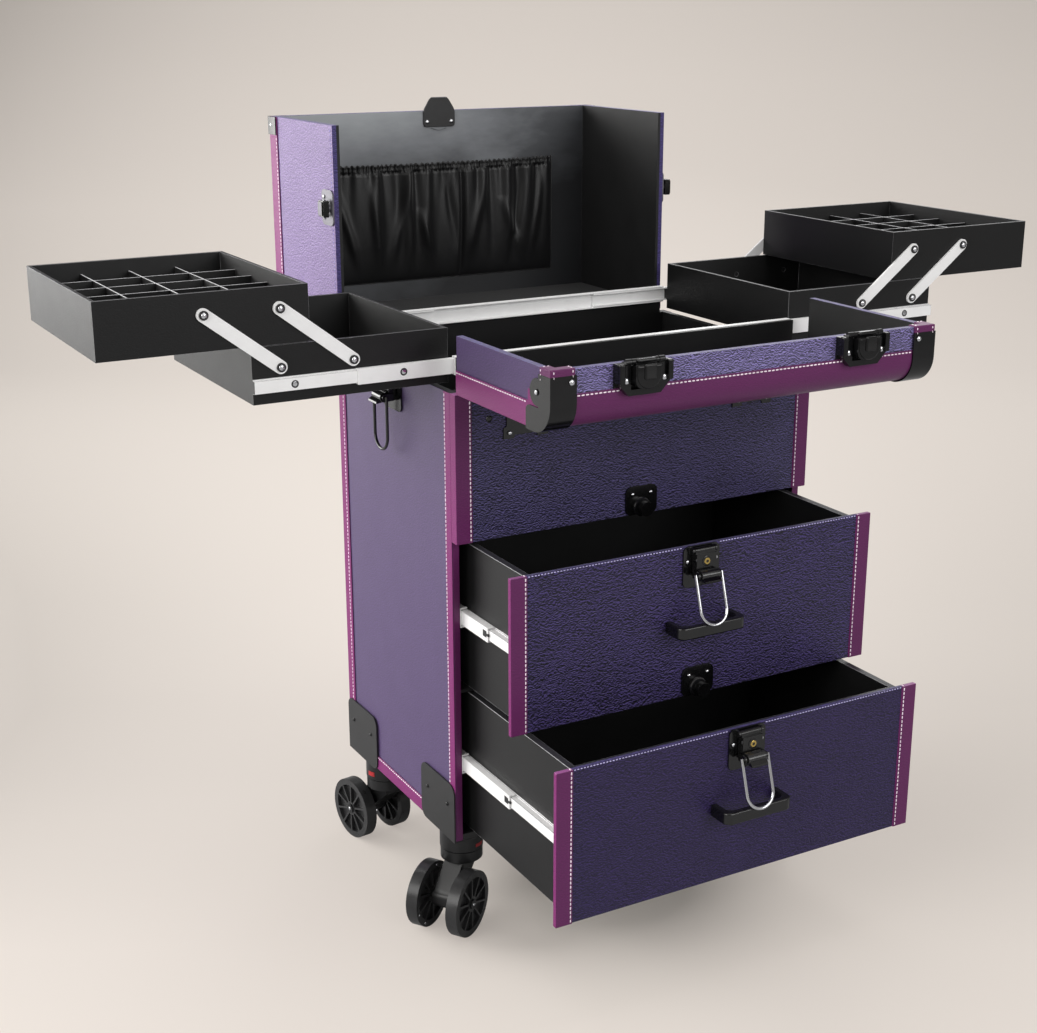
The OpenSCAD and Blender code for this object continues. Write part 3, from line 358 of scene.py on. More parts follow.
def enamel(name, colour, rough, spec, wear=0.5):
    """Painted metal or plastic, a little worn."""
    m = Mat(name, colour, rough, 0.0, spec)
    cloud = m.noise(m.place, 90, 5)
    fine = m.noise(m.place, 900, 3)
    m.bump(fine, 0.12 * wear, 0.0001)
    m.colour_by(cloud, [(0.3, tone(colour, 0.85)), (0.75, tone(colour, 1.3))])
    m.rough_by(cloud, rough - 0.06 * wear, rough + 0.1 * wear)
    return m.m


def steel(name, colour, rough, metal, brush):
    """Metal brushed along X."""
    m = Mat(name, colour, rough, metal)
    v = m.scaled(60, 900, 900)
    lines = m.noise(v, 2.2, 3)
    cloud = m.noise(m.place, 60, 3)
    m.bump(lines, 0.1 * brush, 0.00008)
    m.colour_by(cloud, [(0.3, tone(colour, 0.94)), (0.7, colour)])
    m.rough_by(lines, max(0.04, rough - 0.08 * brush), rough + 0.1 * brush)
    return m.m


# PURPLE is the leather's own colour. Its other copies are the same leather, painted lighter or
# darker for how light falls on each part: darker on the lower drawer (painted shade), paler on the
# fixed front, the sides and back, and the lid (painted light), and much paler on the flap's front
# band (a painted highlight).
PURPLE = leather("leather_purple", srgb(39, 31, 67), 800, 0.4, 1.3, 1.9)
PURPLE_LOW_SHADED = leather("leather_purple_lower_painted_shade", srgb(36, 26, 64), 800, 0.4, 1.0, 1.0, 0.08)
PURPLE_TOP_LIT = leather("leather_purple_upper_painted_light", srgb(48, 43, 76), 860, 0.42, 1.1, 1.7, 0.2)
PURPLE_RIM_HIGHLIGHT = leather("leather_purple_rim_painted_highlight", srgb(89, 81, 123), 980, 0.36, 1.2, 1.7, 0.35, 0.5)
PURPLE_SIDE_LIT = leather("leather_purple_side_painted_light", srgb(72, 50, 99), 900, 0.5, 0.3, 0.2, 0.2, 0.45)
PURPLE_LID_LIT = leather("leather_purple_lid_painted_light", srgb(108, 84, 138), 760, 0.44, 0.7, 0.34, 0.2)
# MAGENTA is the trims' own colour. Its copy for sideways faces is paler (painted light), and its
# copy for the trims' tops is paler still (a painted highlight).
MAGENTA = leather("leather_magenta", srgb(99, 36, 89), 1200, 0.38, 0.25, 0.14, 0.05, 0.35)
MAGENTA_SIDE_LIT = leather("leather_magenta_side_painted_light", srgb(130, 46, 110), 1200, 0.38, 0.25, 0.14, 0.0,
                       0.22)
MAGENTA_FOLD_HIGHLIGHT = leather("leather_magenta_fold_painted_highlight", srgb(156, 84, 146), 1200, 0.38, 0.25, 0.14, 0.1, 0.4)
BINDING = leather("leather_binding", srgb(63, 53, 110), 900, 0.44, 0.8, 0.5)
BOARD = leather("board_black", srgb(15, 15, 16), 1200, 0.4, 0.18, 0.2, 0.05, 0.33)
SATIN = satin("satin_black", srgb(13, 13, 14), 0.55, 2600, 0.12)


def painted_sheen_lining(name):
    """The lid's back lining, with painted sheen: pale soft patches at its left and top, and painted
    shade darkening it to the right and towards the bottom.
    """
    m = Mat(name, srgb(80, 81, 84), 0.42)
    sheen_patch = m.noise(m.scaled(1, 1, 1.6), 7.0, 3, 0.45)
    fine = m.noise(m.scaled(1, 1, 2.5), 60.0, 3, 0.6)
    across = m.add("ShaderNodeSeparateXYZ")
    m.link(m.place, across.inputs[0])
    x = m.maths("MULTIPLY_ADD", across.outputs["X"], 2.1, 0.42)
    low = m.maths("MULTIPLY_ADD", across.outputs["Z"], -3.6, 2.36)
    fac = m.maths("ADD", m.maths("ADD", x, low), m.maths("MULTIPLY_ADD", sheen_patch, 1.1, -0.55))
    fac = m.maths("ADD", fac, m.maths("MULTIPLY_ADD", fine, 0.16, -0.08))
    m.colour_by(fac, [(0.0, srgb(164, 168, 172)), (0.35, srgb(126, 129, 134)),
                      (0.62, srgb(74, 76, 80)), (0.95, srgb(30, 31, 34))])
    m.bump(m.noise(m.place, 2400, 2), 0.25, 0.00012)
    m.rough_by(sheen_patch, 0.36, 0.5)
    return m.m


LINING = painted_sheen_lining("lid_lining_painted_sheen")
CLOTH = satin("pocket_cloth", srgb(11, 11, 13), 0.42, 3200, 0.2, 0.2)
BLACK = enamel("metal_black", srgb(11, 11, 12), 0.17, 0.7)
GLOSS = enamel("metal_gloss_black", srgb(26, 26, 28), 0.13, 0.9, 0.3)
GREY_BLACK = enamel("metal_grey_black", srgb(17, 17, 18), 0.17, 0.42)
GUARD = enamel("guard_black", srgb(33, 33, 34), 0.42, 0.5)
PLASTIC = enamel("plastic_black", srgb(27, 27, 28), 0.3, 0.55, 0.8)
TYRE = enamel("tyre_black", srgb(46, 46, 47), 0.28, 0.6, 1.0)
RAIL = steel("rail_steel", srgb(255, 255, 255), 0.34, 0.0, 0.6)
LINK = steel("link_steel", srgb(255, 255, 255), 0.4, 0.0, 0.3)
# Pale grey for the boards' rounded edges: a painted highlight.
EDGE_HIGHLIGHT = enamel("board_edge_painted_highlight", srgb(150, 150, 153), 0.4, 0.5, 0.4)
DIVIDER = enamel("divider_edge", srgb(225, 225, 228), 0.4, 0.5, 0.3)
CHROME = steel("chrome", srgb(225, 226, 230), 0.12, 1.0, 0.3)
NICKEL = steel("nickel", srgb(112, 110, 118), 0.42, 0.35, 0.5)
BRASS = steel("brass", srgb(214, 184, 108), 0.24, 1.0, 0.4)
THREAD = satin("thread", srgb(255, 238, 250), 0.6, 5000, 0.3)
HEM = satin("hem_thread", srgb(150, 140, 205), 0.6, 5000, 0.2)
HEM_PALE = satin("hem_thread_pale", srgb(196, 188, 236), 0.6, 5000, 0.2)
SLEEVE = enamel("clip_black", srgb(30, 30, 31), 0.4, 0.5)
RED = enamel("red_mark", srgb(176, 44, 48), 0.4, 0.4)


# Mesh helpers

def mesh_object(name, bm, mats, body, smooth=35.0):
    """A piece from a mesh, riding on a body, shaded smooth up to an angle in degrees."""
    me = bpy.data.meshes.new(name)
    bm.to_mesh(me)
    bm.free()
    for m in mats:
        me.materials.append(m)
    o = bpy.data.objects.new(name, me)
    bpy.context.scene.collection.objects.link(o)
    for p in me.polygons:
        p.use_smooth = True
    me.set_sharp_from_angle(angle=math.radians(smooth))
    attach(o, body)
    return o


def weighted(o):
    w = o.modifiers.new("normals", "WEIGHTED_NORMAL")
    w.keep_sharp = True
    w.weight = 50


def case_place(f):
    """The middle of a face, in mm of the case."""
    c = f.calc_center_median() * 1000.0
    return c.x, c.y - CASE_Y, c.z - LIFT


def dressed(node, mats, bevel, seg=2, pick=None, edge=-1, cuts=(), drop=None,
            outer_only=False):
    """A copy of a CAD node with its sharp edges rounded and its faces painted, which stands for it.
    Its faces are cut at each X of cuts, the faces that drop picks are left to a piece of their
    own, and the rounded edges take the material numbered edge. With outer_only the inner corners
    stay sharp."""
    src = nodes[node]
    bm = bmesh.new()
    bm.from_mesh(src.data)
    bmesh.ops.remove_doubles(bm, verts=bm.verts, dist=2e-6)
    bmesh.ops.dissolve_degenerate(bm, dist=1e-6, edges=bm.edges)
    bmesh.ops.dissolve_limit(bm, angle_limit=math.radians(0.6), verts=bm.verts, edges=bm.edges)
    bmesh.ops.recalc_face_normals(bm, faces=bm.faces)
    if drop:
        bmesh.ops.delete(bm, geom=[f for f in bm.faces if drop(*case_place(f))], context="FACES")
    for x in cuts:
        bmesh.ops.bisect_plane(bm, geom=bm.verts[:] + bm.edges[:] + bm.faces[:], dist=1e-6,
                               plane_co=(x / 1000.0, 0, 0), plane_no=(1, 0, 0))
    if pick:
        for f in bm.faces:
            f.material_index = pick(*case_place(f), f.normal)
    edges = [e for e in bm.edges if len(e.link_faces) == 2 and e.calc_face_angle(0) > SHARP
             and (e.is_convex or not outer_only)]
    bmesh.ops.bevel(bm, geom=edges, offset=bevel / 1000.0, offset_type="OFFSET", segments=seg,
                    profile=0.6, affect="EDGES", clamp_overlap=True, material=edge)
    bmesh.ops.triangulate(bm, faces=[f for f in bm.faces if len(f.verts) > 4])
    o = mesh_object(node + "_piece", bm, mats, src["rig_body"])
    weighted(o)
    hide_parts(node)


# Paint rules: from a face's middle in mm and its normal to a number in the node's list of materials

# The side panels' outer faces take a paler copy of the purple leather: painted light.
def paint_side(x, y, z, n):
    if abs(x) > SIDE - 0.3 and abs(n.x) > 0.9:
        return 0
    if n.z > 0.9:
        return 3
    return 1 if n.y < -0.9 else 2


# Faces that look sideways take a paler copy of the magenta leather: painted light.
def flank(x, y, z, n):
    return 2 if abs(n.x) > 0.9 else 0


# On the end trims, the tops take a painted highlight, and the sideways faces take a paler copy,
# which is painted light.
def paint_front(x, y, z, n):
    if abs(x) > HALF - END_TRIM - 0.1:
        return 4 if n.z > 0.5 else 5 if abs(n.x) > 0.9 else 1
    if n.y < -0.5:
        return 0
    return 2 if n.z > 0.5 else 3


# The lid's outer sides take a paler copy of the purple leather: painted light.
def paint_lid(x, y, z, n):
    if abs(n.x) > 0.9:
        return 0 if abs(x) > LID_HALF - 3 else 3
    if n.y < -0.9:
        if y < LID_Y + 1:
            return 1 if abs(x) > LID_BINDING else 3
        return 2
    if n.z > 0.9:
        return 1 if z > HINGE_Z + 190 else 3
    return 0


# The flap's front band takes a much paler copy of the purple leather, which is a painted highlight.
# Its other outer faces take a paler copy, which is painted light.
def paint_flap(x, y, z, n):
    if n.z > 0.9 and z > RIM_Z - 1.5:
        return 1
    if n.y < -0.5 and y < FLAP_FRONT + 3:
        return 3
    inner = abs(x) < 173.5 and z > HINGE_Z + 6.5 and y > FLAP_FRONT + 3
    return 2 if inner else 0


def paint_tray(cx, z0):
    """The rule for a tray round cx, with its foot at z0."""
    def rule(x, y, z, n):
        if abs(y) > 98.05:
            return 2
        if n.z > 0.9:
            if z > z0 + 44:
                return 3
            return 5 if z > z0 + 30 else 1
        return 1 if n.x * (cx - x) - n.y * y > 0.1 and abs(n.z) < 0.5 else 0
    return rule


RIM = enamel("board_edge", srgb(48, 48, 51), 0.42, 0.5, 0.6)
dressed("side_panels", [PURPLE_SIDE_LIT, MAGENTA, SATIN, RIM], 0.6, 2, paint_side)
dressed("back_panel", [PURPLE_SIDE_LIT, SATIN], 0.5, 2,
        lambda x, y, z, n: 0 if n.y > 0.9 else 1)
dressed("bottom_panel", [PLASTIC], 0.4)
dressed("shelf_boards", [SATIN], 0.4)
dressed("bin_walls", [BOARD], 0.5)
dressed("cabinet_trims", [MAGENTA, RIM, MAGENTA_SIDE_LIT], 0.45, 2,
        lambda x, y, z, n: 1 if n.z > 0.9 and z > 300 else flank(x, y, z, n))
# The fixed front takes a paler copy of the purple leather (painted light), and the lower drawer a
# darker one (painted shade).
for node, skin in (("front_panel", PURPLE_TOP_LIT), ("drawer_front_upper", PURPLE),
                   ("drawer_front_lower", PURPLE_LOW_SHADED)):
    dressed(node, [skin, MAGENTA, BINDING, BOARD, MAGENTA_FOLD_HIGHLIGHT, MAGENTA_SIDE_LIT],
            0.7, 3, paint_front, cuts=(END_TRIM - HALF, HALF - END_TRIM))
dressed("lid_shell", [PURPLE_LID_LIT, BINDING, LINING, SATIN], 1.0, 3, paint_lid,
        cuts=(-LID_BINDING, LID_BINDING))
dressed("lid_trims", [MAGENTA, MAGENTA, MAGENTA_SIDE_LIT], 0.4, 2, flank)
dressed("flap_shell", [PURPLE_SIDE_LIT, BINDING, SATIN, PURPLE_RIM_HIGHLIGHT], 0.9, 3,
        paint_flap)
dressed("flap_edge_trim", [MAGENTA, MAGENTA, MAGENTA_SIDE_LIT], 0.4, 2, flank)
for k, (z0, out) in DRAWERS.items():
    def paint_box(x, y, z, n, y0=FRONT - out + 4.5, top=z0 + FRONT_H - 2.2):
        if abs(x) > BOX_HALF + 0.05:
            return 2
        if n.z > 0.9:
            return 3 if z > top - 1 else 1
        return 1 if -n.x * x + n.y * (y0 + 102.5 - y) > 0.1 and abs(n.z) < 0.5 else 0

    # The boxes' rounded outer edges are painted pale grey: a painted highlight.
    dressed("drawer_box_" + k, [BOARD, SATIN, RAIL, RIM, EDGE_HIGHLIGHT], 0.4, 2, paint_box,
            edge=4, outer_only=True)
    dressed("drawer_mids_" + k, [RAIL], 0.15, 1)
    dressed("drawer_handle_" + k, [BLACK], 1.6, 3)
    dressed("drawer_latch_" + k, [BLACK], 0.4, 2)
    dressed("drawer_lever_" + k, [BLACK], 0.5, 2)
for side, s in SIDES:
    boards = [BOARD, SATIN, RAIL, RIM, EDGE_HIGHLIGHT, DIVIDER]
    low_rule, high_rule = paint_tray(s * 256, 408), paint_tray(s * 374.5, 453.5)
    # The trays' rounded edges are painted pale grey: a painted highlight.
    dressed("lower_tray_" + side, boards, 0.5, 2, low_rule, edge=4)
    dressed("upper_tray_" + side, boards, 0.35, 2, high_rule, edge=4)
    dressed("tray_mids_" + side, [RAIL], 0.15, 1)
    for link in ("a", "b"):
        dressed("tray_link_%s_%s" % (link, side), [LINK, SLEEVE], 0.3, 2,
                lambda x, y, z, n: 1 if abs(y) > 100.45 or abs(y) < 98.3 else 0)
    dressed("side_lever_" + side, [BLACK], 0.5, 2)
    dressed("flap_lever_" + side, [GREY_BLACK], 1.4, 3)
dressed("tray_rails", [RAIL], 0.15, 1)
dressed("drawer_rails", [RAIL], 0.15, 1)
dressed("corner_guards", [GUARD], 0.45, 2)
dressed("case_hardware", [BLACK], 0.4, 2)
dressed("lid_hardware", [GREY_BLACK, NICKEL], 0.35, 2,
        lambda x, y, z, n: 1 if abs(x) > 176.9 and z < HINGE_Z + 160 else 0,
        drop=lambda x, y, z: (abs(x) < 18 and z > TONGUE_Z - 1) or abs(x) > 182.5)
dressed("lid_hinges", [BLACK], 0.3, 2)
dressed("flap_corner_guards", [GREY_BLACK], 0.8, 3)
dressed("flap_hardware", [GREY_BLACK], 0.6, 2)
for node, metal in (("drawer_bail_upper", CHROME), ("drawer_bail_lower", CHROME),
                    ("side_bail_left", BLACK), ("side_bail_right", BLACK)):
    o = nodes[node]
    o.data.materials.clear()
    o.data.materials.append(metal)
dressed("caster_housings", [PLASTIC], 0.8, 3)
for k in ("fl", "fr", "rl", "rr"):
    dressed("caster_fork_" + k, [PLASTIC], 0.6, 2)
    dressed("caster_wheels_" + k, [TYRE], 0.7, 2)


# Rows of stitches: short raised threads along each seam

def stitches(name, body, rows, step=3.7, length=3.1, r=0.55, mat=THREAD):
    """Threads along each row (points, normal of the face): their step, length and radius in mm."""
    bm = bmesh.new()
    for row in rows:
        pts, normal = [Vector(p) for p in row[:-1]], Vector(row[-1]).normalized()
        for p, q in zip(pts, pts[1:]):
            run = (q - p).length
            along = (q - p) / run
            across = normal.cross(along)
            count = max(1, int(run / step))
            gap = run / count
            for i in range(count):
                c = p + along * (gap * (i + 0.5))
                lean = along + across * random.uniform(-0.06, 0.06)
                half = length * 0.5 * random.uniform(0.94, 1.04)
                ends = [bm.verts.new(at(*(c + lean * e * half - normal * 0.1))) for e in (-1, 1)]
                rings = []
                for e in (-0.55, 0.55):
                    ring = []
                    for a in (-1, -0.35, 0.35, 1):
                        lift = r * (1 - a * a * 0.9)
                        spot = c + lean * e * half + across * a * r + normal * lift
                        ring.append(bm.verts.new(at(*spot)))
                    rings.append(ring)
                for a in range(3):
                    bm.faces.new((rings[0][a], rings[0][a + 1], rings[1][a + 1], rings[1][a]))
                    bm.faces.new((ends[0], rings[0][a + 1], rings[0][a]))
                    bm.faces.new((ends[1], rings[1][a], rings[1][a + 1]))
    bmesh.ops.recalc_face_normals(bm, faces=bm.faces)
    o = mesh_object(name, bm, [mat], body, 80)


rows = []
for s in (-1, 1):
    x = s * (HALF + PROUD)
    n = (s, 0, 0)
    for y in (FRONT_IN + 9.8, BACK - 10.7):
        rows.append(((x, y, 12.5), (x, y, TOP - 1.5), n))
    rows.append(((x, FRONT_IN + 12, 12.4), (x, BACK - 12, 12.4), n))
    x = s * (HALF - END_TRIM + 1.7)
    rows.append(((x, FRONT - PROUD, FIXED_Z + 1), (x, FRONT - PROUD, TOP - 2), (0, -1, 0)))
stitches("cabinet_stitches", "cabinet", rows)
for k, (z0, out) in DRAWERS.items():
    rows, hem = [], []
    face, top = FRONT - out, z0 + FRONT_H
    for s in (-1, 1):
        x = s * (HALF - END_TRIM + 1.7)
        rows.append(((x, face - PROUD, z0 + 1), (x, face - PROUD, top - 0.8), (0, -1, 0)))
        rows.append(((x, face + 0.4, top + PROUD), (x, face + 4.2, top + PROUD), (0, 0, 1)))
        y, z = face + 1.02, top - 0.9
        hem.append(((s * 18.6, y, z), (s * 164.4, y, z), (0, -1, 0)))
    stitches("drawer_%s_stitches" % k, "drawer_" + k, rows)
    stitches("drawer_%s_hem" % k, "drawer_" + k, hem, 2.9, 2.2, 0.46, HEM_PALE)

seam = FLAP_FRONT - PROUD, HINGE_Z + 27.2
rows = [((-158.5, *seam), (158.5, *seam), (0, -1, 0))]
for s in (-1, 1):
    x = s * (HALF + PROUD)
    rows.append(((x, FLAP_Y - 1, HINGE_Z + 18.2), (x, FLAP_FRONT + 36, HINGE_Z + 18.2), (s, 0, 0)))
stitches("flap_stitches", "flap", rows)
rows, hem = [], []
low, high = HINGE_Z + 1, HINGE_Z + 176
for s in (-1, 1):
    x, y = s * (LID_HALF + ON_TRIM), LID_BACK + ON_TRIM
    rows.append(((x, LID_BACK - 16.2, low), (x, LID_BACK - 16.2, high), (s, 0, 0)))
    rows.append(((s * 160.8, y, low), (s * 160.8, y, high), (0, 1, 0)))
    rows.append(((x, LID_Y + 20, HINGE_Z + 16), (x, LID_BACK - 20, HINGE_Z + 16), (s, 0, 0)))
    for a, b in ((2, 104), (139, 192)):
        x, y = s * (LID_HALF + PROUD), LID_Y + 4.2
        hem.append(((x, y, HINGE_Z + a), (x, y, HINGE_Z + b), (s, 0, 0)))
stitches("lid_stitches", "lid", rows)
stitches("lid_hem", "lid", hem, 3.6, 2.6, 0.5, HEM)


# Plain solids with soft edges, and turned pieces

def slabs(name, body, mats, shapes, bevel, seg=3):
    """Prisms from outlines. A shape is (outline, axis, from, to, material's number), with the
    outline's two numbers along the other two axes in their order, all in mm."""
    bm = bmesh.new()
    for outline, axis, d0, d1, mat in shapes:
        caps = []
        for d in (d0, d1):
            ring = []
            for p in outline:
                q = list(p)
                q.insert("xyz".index(axis), d)
                ring.append(bm.verts.new(at(*q)))
            caps.append(ring)
        count = len(outline)
        faces = [bm.faces.new(caps[0]), bm.faces.new(caps[1])]
        for i in range(count):
            k = (i + 1) % count
            faces.append(bm.faces.new((caps[0][i], caps[0][k], caps[1][k], caps[1][i])))
        for f in faces:
            f.material_index = mat
    bmesh.ops.recalc_face_normals(bm, faces=bm.faces)
    edges = [e for e in bm.edges if e.calc_face_angle(0) > SHARP]
    bmesh.ops.bevel(bm, geom=edges, offset=bevel / 1000.0, offset_type="OFFSET", segments=seg,
                    profile=0.5, affect="EDGES", clamp_overlap=True)
    bmesh.ops.triangulate(bm, faces=[f for f in bm.faces if len(f.verts) > 4])
    o = mesh_object(name, bm, mats, body, 40)
    weighted(o)


def rect(a0, b0, a1, b1):
    """The outline of a rectangle between two corners."""
    return [(a0, b0), (a1, b0), (a1, b1), (a0, b1)]


def ring_of(bm, middle, side, up, radius, count):
    """A ring of new points round a middle, in mm."""
    turns = [2 * math.pi * i / count for i in range(count)]
    ring = [middle + (side * math.cos(t) + up * math.sin(t)) * radius for t in turns]
    return [bm.verts.new(at(*q)) for q in ring]


def turned(name, body, mat, spots, profile, seg=32):
    """A turned piece at each spot (place, axis): its profile is (radius, height along it) in mm."""
    bm = bmesh.new()
    for place, axis in spots:
        p, n = Vector(place), Vector(axis).normalized()
        side = n.orthogonal().normalized()
        up = n.cross(side)
        rings = [ring_of(bm, p + n * h, side, up, r, seg) for r, h in profile]
        for a, b in zip(rings, rings[1:]):
            for i in range(seg):
                bm.faces.new((a[i], a[(i + 1) % seg], b[(i + 1) % seg], b[i]))
        bm.faces.new(rings[-1])
    bmesh.ops.recalc_face_normals(bm, faces=bm.faces)
    o = mesh_object(name, bm, [mat], body, 32)


# Magenta wraps over the flap's front corners, with their stitches
wraps, rows = [], []
for s in (-1, 1):
    corner = [(HALF - 20, -1.0), (HALF + 1.0, -1.0), (HALF + 1.0, 15), (HALF - 7.9, 15),
              (HALF - 7.9, 7.9), (HALF - 20, 7.9)]
    wraps.append(([(s * x, FLAP_FRONT + y) for x, y in corner], "z", HINGE_Z + 36, RIM_Z + 1.0, 0))
    low, high, over = HINGE_Z + 40.5, RIM_Z + 0.4, RIM_Z + ON_TRIM
    y = FLAP_FRONT - ON_TRIM
    for x in (HALF - 17.8, HALF - 1.8):
        rows.append(((s * x, y, low), (s * x, y, high), (0, -1, 0)))
    x, y = s * (HALF + ON_TRIM), FLAP_FRONT + 13
    rows.append(((x, y, low - 3), (x, y, high), (s, 0, 0)))
    x = s * (HALF - 17.8)
    rows.append(((x, FLAP_FRONT, over), (x, FLAP_FRONT + 7, over), (0, 0, 1)))
    rows.append(((s * HALF, y, over), (s * (HALF - 7), y, over), (0, 0, 1)))
slabs("flap_wraps", "flap", [MAGENTA], wraps, 0.9)
stitches("flap_wrap_stitches", "flap", rows, 2.6, 2.1, 0.5)

# Flap latches: uprights on the plate, and a D-shaped lever with a block and a loop
for side, s in SIDES:
    cx = s * FLAP_LATCH_X
    bars = []
    for e in (-1, 1):
        a0, a1 = sorted((cx + e * 18.6, cx + e * 23.3))
        bar = rect(a0, FLAP_FRONT - 9.2, a1, FLAP_FRONT - 3)
        bars.append((bar, "z", RIM_Z - 14.5, RIM_Z + 0.6, 0))
    slabs("flap_latch_bars_" + side, "flap", [GREY_BLACK], bars, 1.1)
    half, foot = 10.6, RIM_Z - 8.0
    bow = [math.radians(a) for a in range(195, 346, 15)]
    face = [(cx - half, RIM_Z - 0.8), (cx - half, foot)]
    face += [(cx + half * math.cos(a), foot + half * math.sin(a)) for a in bow]
    face += [(cx + half, foot), (cx + half, RIM_Z - 0.8)]
    block = rect(cx - 5.2, FLAP_FRONT - 14.6, cx + 5.2, FLAP_FRONT - 11)
    loop = rect(cx - 8.4, FLAP_FRONT - 9.5, cx + 8.4, FLAP_FRONT - 3.5)
    slabs("flap_lever_%s_face" % side, "flap_lever_" + side, [GREY_BLACK, BLACK], [
        (face, "y", FLAP_FRONT - 13.2, FLAP_FRONT - 8.5, 0),
        (block, "z", RIM_Z - 11.5, RIM_Z + 0.2, 1),
        (loop, "z", RIM_Z + 0.4, RIM_Z + 3.6, 1)], 1.3)

# Tongue of the lid, with shoulders and a folded lip, and the soft caps over the lid's catch knobs
half = [(14.5, 0), (16.8, 0.8), (17.5, 3), (17.5, 14.5), (16.6, 18), (13.4, 23), (10.8, 27),
        (8.6, 29)]
plate = [(x, TONGUE_Z + z) for x, z in half] + [(-x, TONGUE_Z + z) for x, z in reversed(half)]
lip = rect(-8.0, LINING_Y - 2.8, 8.0, LINING_Y + 0.4)
# The lip takes the same pale grey as the boards' painted edge highlights.
slabs("lid_tongue", "lid", [GUARD, EDGE_HIGHLIGHT], [
    (plate, "y", LINING_Y - 2, LINING_Y, 0),
    (lip, "z", TONGUE_Z + 27.9, TONGUE_Z + 29.2, 1)], 0.5)
for side, s in SIDES:
    a0, a1, b0, b1 = sorted((s * 181.4, s * 187.2)) + sorted((s * 187.0, s * 188.4))
    slabs("lid_catch_cap_" + side, "lid", [BLACK, NICKEL], [
        (rect(a0, LID_Y + 1.5, a1, LID_Y + 13), "z", HINGE_Z + 114.2, HINGE_Z + 129.3, 0),
        (rect(b0, LID_Y + 2.5, b1, LID_Y + 12), "z", HINGE_Z + 115.4, HINGE_Z + 128.1, 1)],
        1.5)

# Flanges of the catch knobs, keys of the drawer levers
FLANGE = [(8.4, 0), (8.4, 1.0), (7.6, 1.8), (4.4, 2.0), (3.8, 7.5)]
foot, out = DRAWERS["upper"]
for name, body, y, z in (("fixed_catch_flange", "cabinet", FRONT, FIXED_Z),
                         ("drawer_catch_flange", "drawer_upper", FRONT - out, foot)):
    turned(name, body, GLOSS, [((0, y - 0.6, z + KNOB_UP), (0, -1, 0))], FLANGE)
for k, (z0, out) in DRAWERS.items():
    key = [((0, FRONT - out + TRIM - 8.9, z0 + FRONT_H - 12), (0, -1, 0))]
    turned("drawer_%s_key" % k, "drawer_lever_" + k, BRASS, key,
           [(3.1, 0), (3.1, 0.9), (2.6, 1.3), (1.3, 1.3), (1.2, 0.6)], 24)
    turned("drawer_%s_key_rim" % k, "drawer_lever_" + k, BLACK, key,
           [(4.4, 0), (4.4, 0.4), (3.6, 0.7)], 24)

# Barrels of the levers, from which the bails hang
BARREL = [(2.2, -8.9), (4.1, -8.9), (4.4, -8.5), (4.4, 8.5), (4.1, 8.9), (2.2, 8.9)]
for k, (z0, out) in DRAWERS.items():
    pin = ((0, FRONT - out + TRIM - BARREL_OUT, z0 + FRONT_H - BARREL_DROP), (1, 0, 0))
    turned("drawer_%s_barrel" % k, "drawer_lever_" + k, GLOSS, [pin], BARREL, 24)
for side, s in SIDES:
    pin = ((s * (SIDE + BARREL_OUT), MID_Y, TOP - BARREL_DROP), (0, 1, 0))
    turned("side_barrel_" + side, "side_lever_" + side, GLOSS, [pin], BARREL, 24)

# Folded brackets round the drawer slides at the cabinet's front edge, and the clips on the slides
for k, (z0, out) in DRAWERS.items():
    mid = z0 + FRONT_H / 2
    folds, clips = [], []
    for s in (-1, 1):
        for x0, w0, x1, w1 in ((166.0, 7.8, 172.6, 8.8), (166.0, -8.8, 172.6, -7.8),
                               (171.9, -8.8, 172.9, 8.8)):
            a0, a1 = sorted((s * x0, s * x1))
            folds.append((rect(a0, mid + w0, a1, mid + w1), "y", FRONT_IN + 0.1, FRONT_IN + 2.7, 0))
        y = FRONT - out / 2 + 10.2
        a0, a1 = sorted((s * 170.6, s * 171.72))
        clips.append((rect(a0, mid - 2.6, a1, mid + 3.4), "y", y + 0.6, y + 7.5, 0))
        clips.append((rect(a0, mid - 1.0, a1, mid + 1.6), "y", y - 2.5, y + 1.0, 0))
    slabs("drawer_%s_folds" % k, "cabinet", [RAIL], folds, 0.35, 2)
    slabs("drawer_%s_clips" % k, "drawer_mids_" + k, [SLEEVE], clips, 0.4, 2)


# Small domed rivets and screws

def domes(name, body, mat, spots, r=1.9, h=1.0):
    """A dome at each spot (place, axis), of radius r and height h in mm; a spot's third number is
    its own radius."""
    seg = 14
    bm = bmesh.new()
    for spot in spots:
        p, n = Vector(spot[0]), Vector(spot[1]).normalized()
        rr = spot[2] if len(spot) > 2 else r
        side = n.orthogonal().normalized()
        up = n.cross(side)
        arc = [math.radians(90 * k / 4) for k in range(4)]
        rings = [ring_of(bm, p + n * h * math.sin(a), side, up, rr * math.cos(a), seg) for a in arc]
        cap = bm.verts.new(at(*(p + n * h)))
        for a, b in zip(rings, rings[1:]):
            for i in range(seg):
                bm.faces.new((a[i], a[(i + 1) % seg], b[(i + 1) % seg], b[i]))
        for i in range(seg):
            bm.faces.new((rings[-1][i], rings[-1][(i + 1) % seg], cap))
    bmesh.ops.recalc_face_normals(bm, faces=bm.faces)
    o = mesh_object(name, bm, [mat], body, 60)


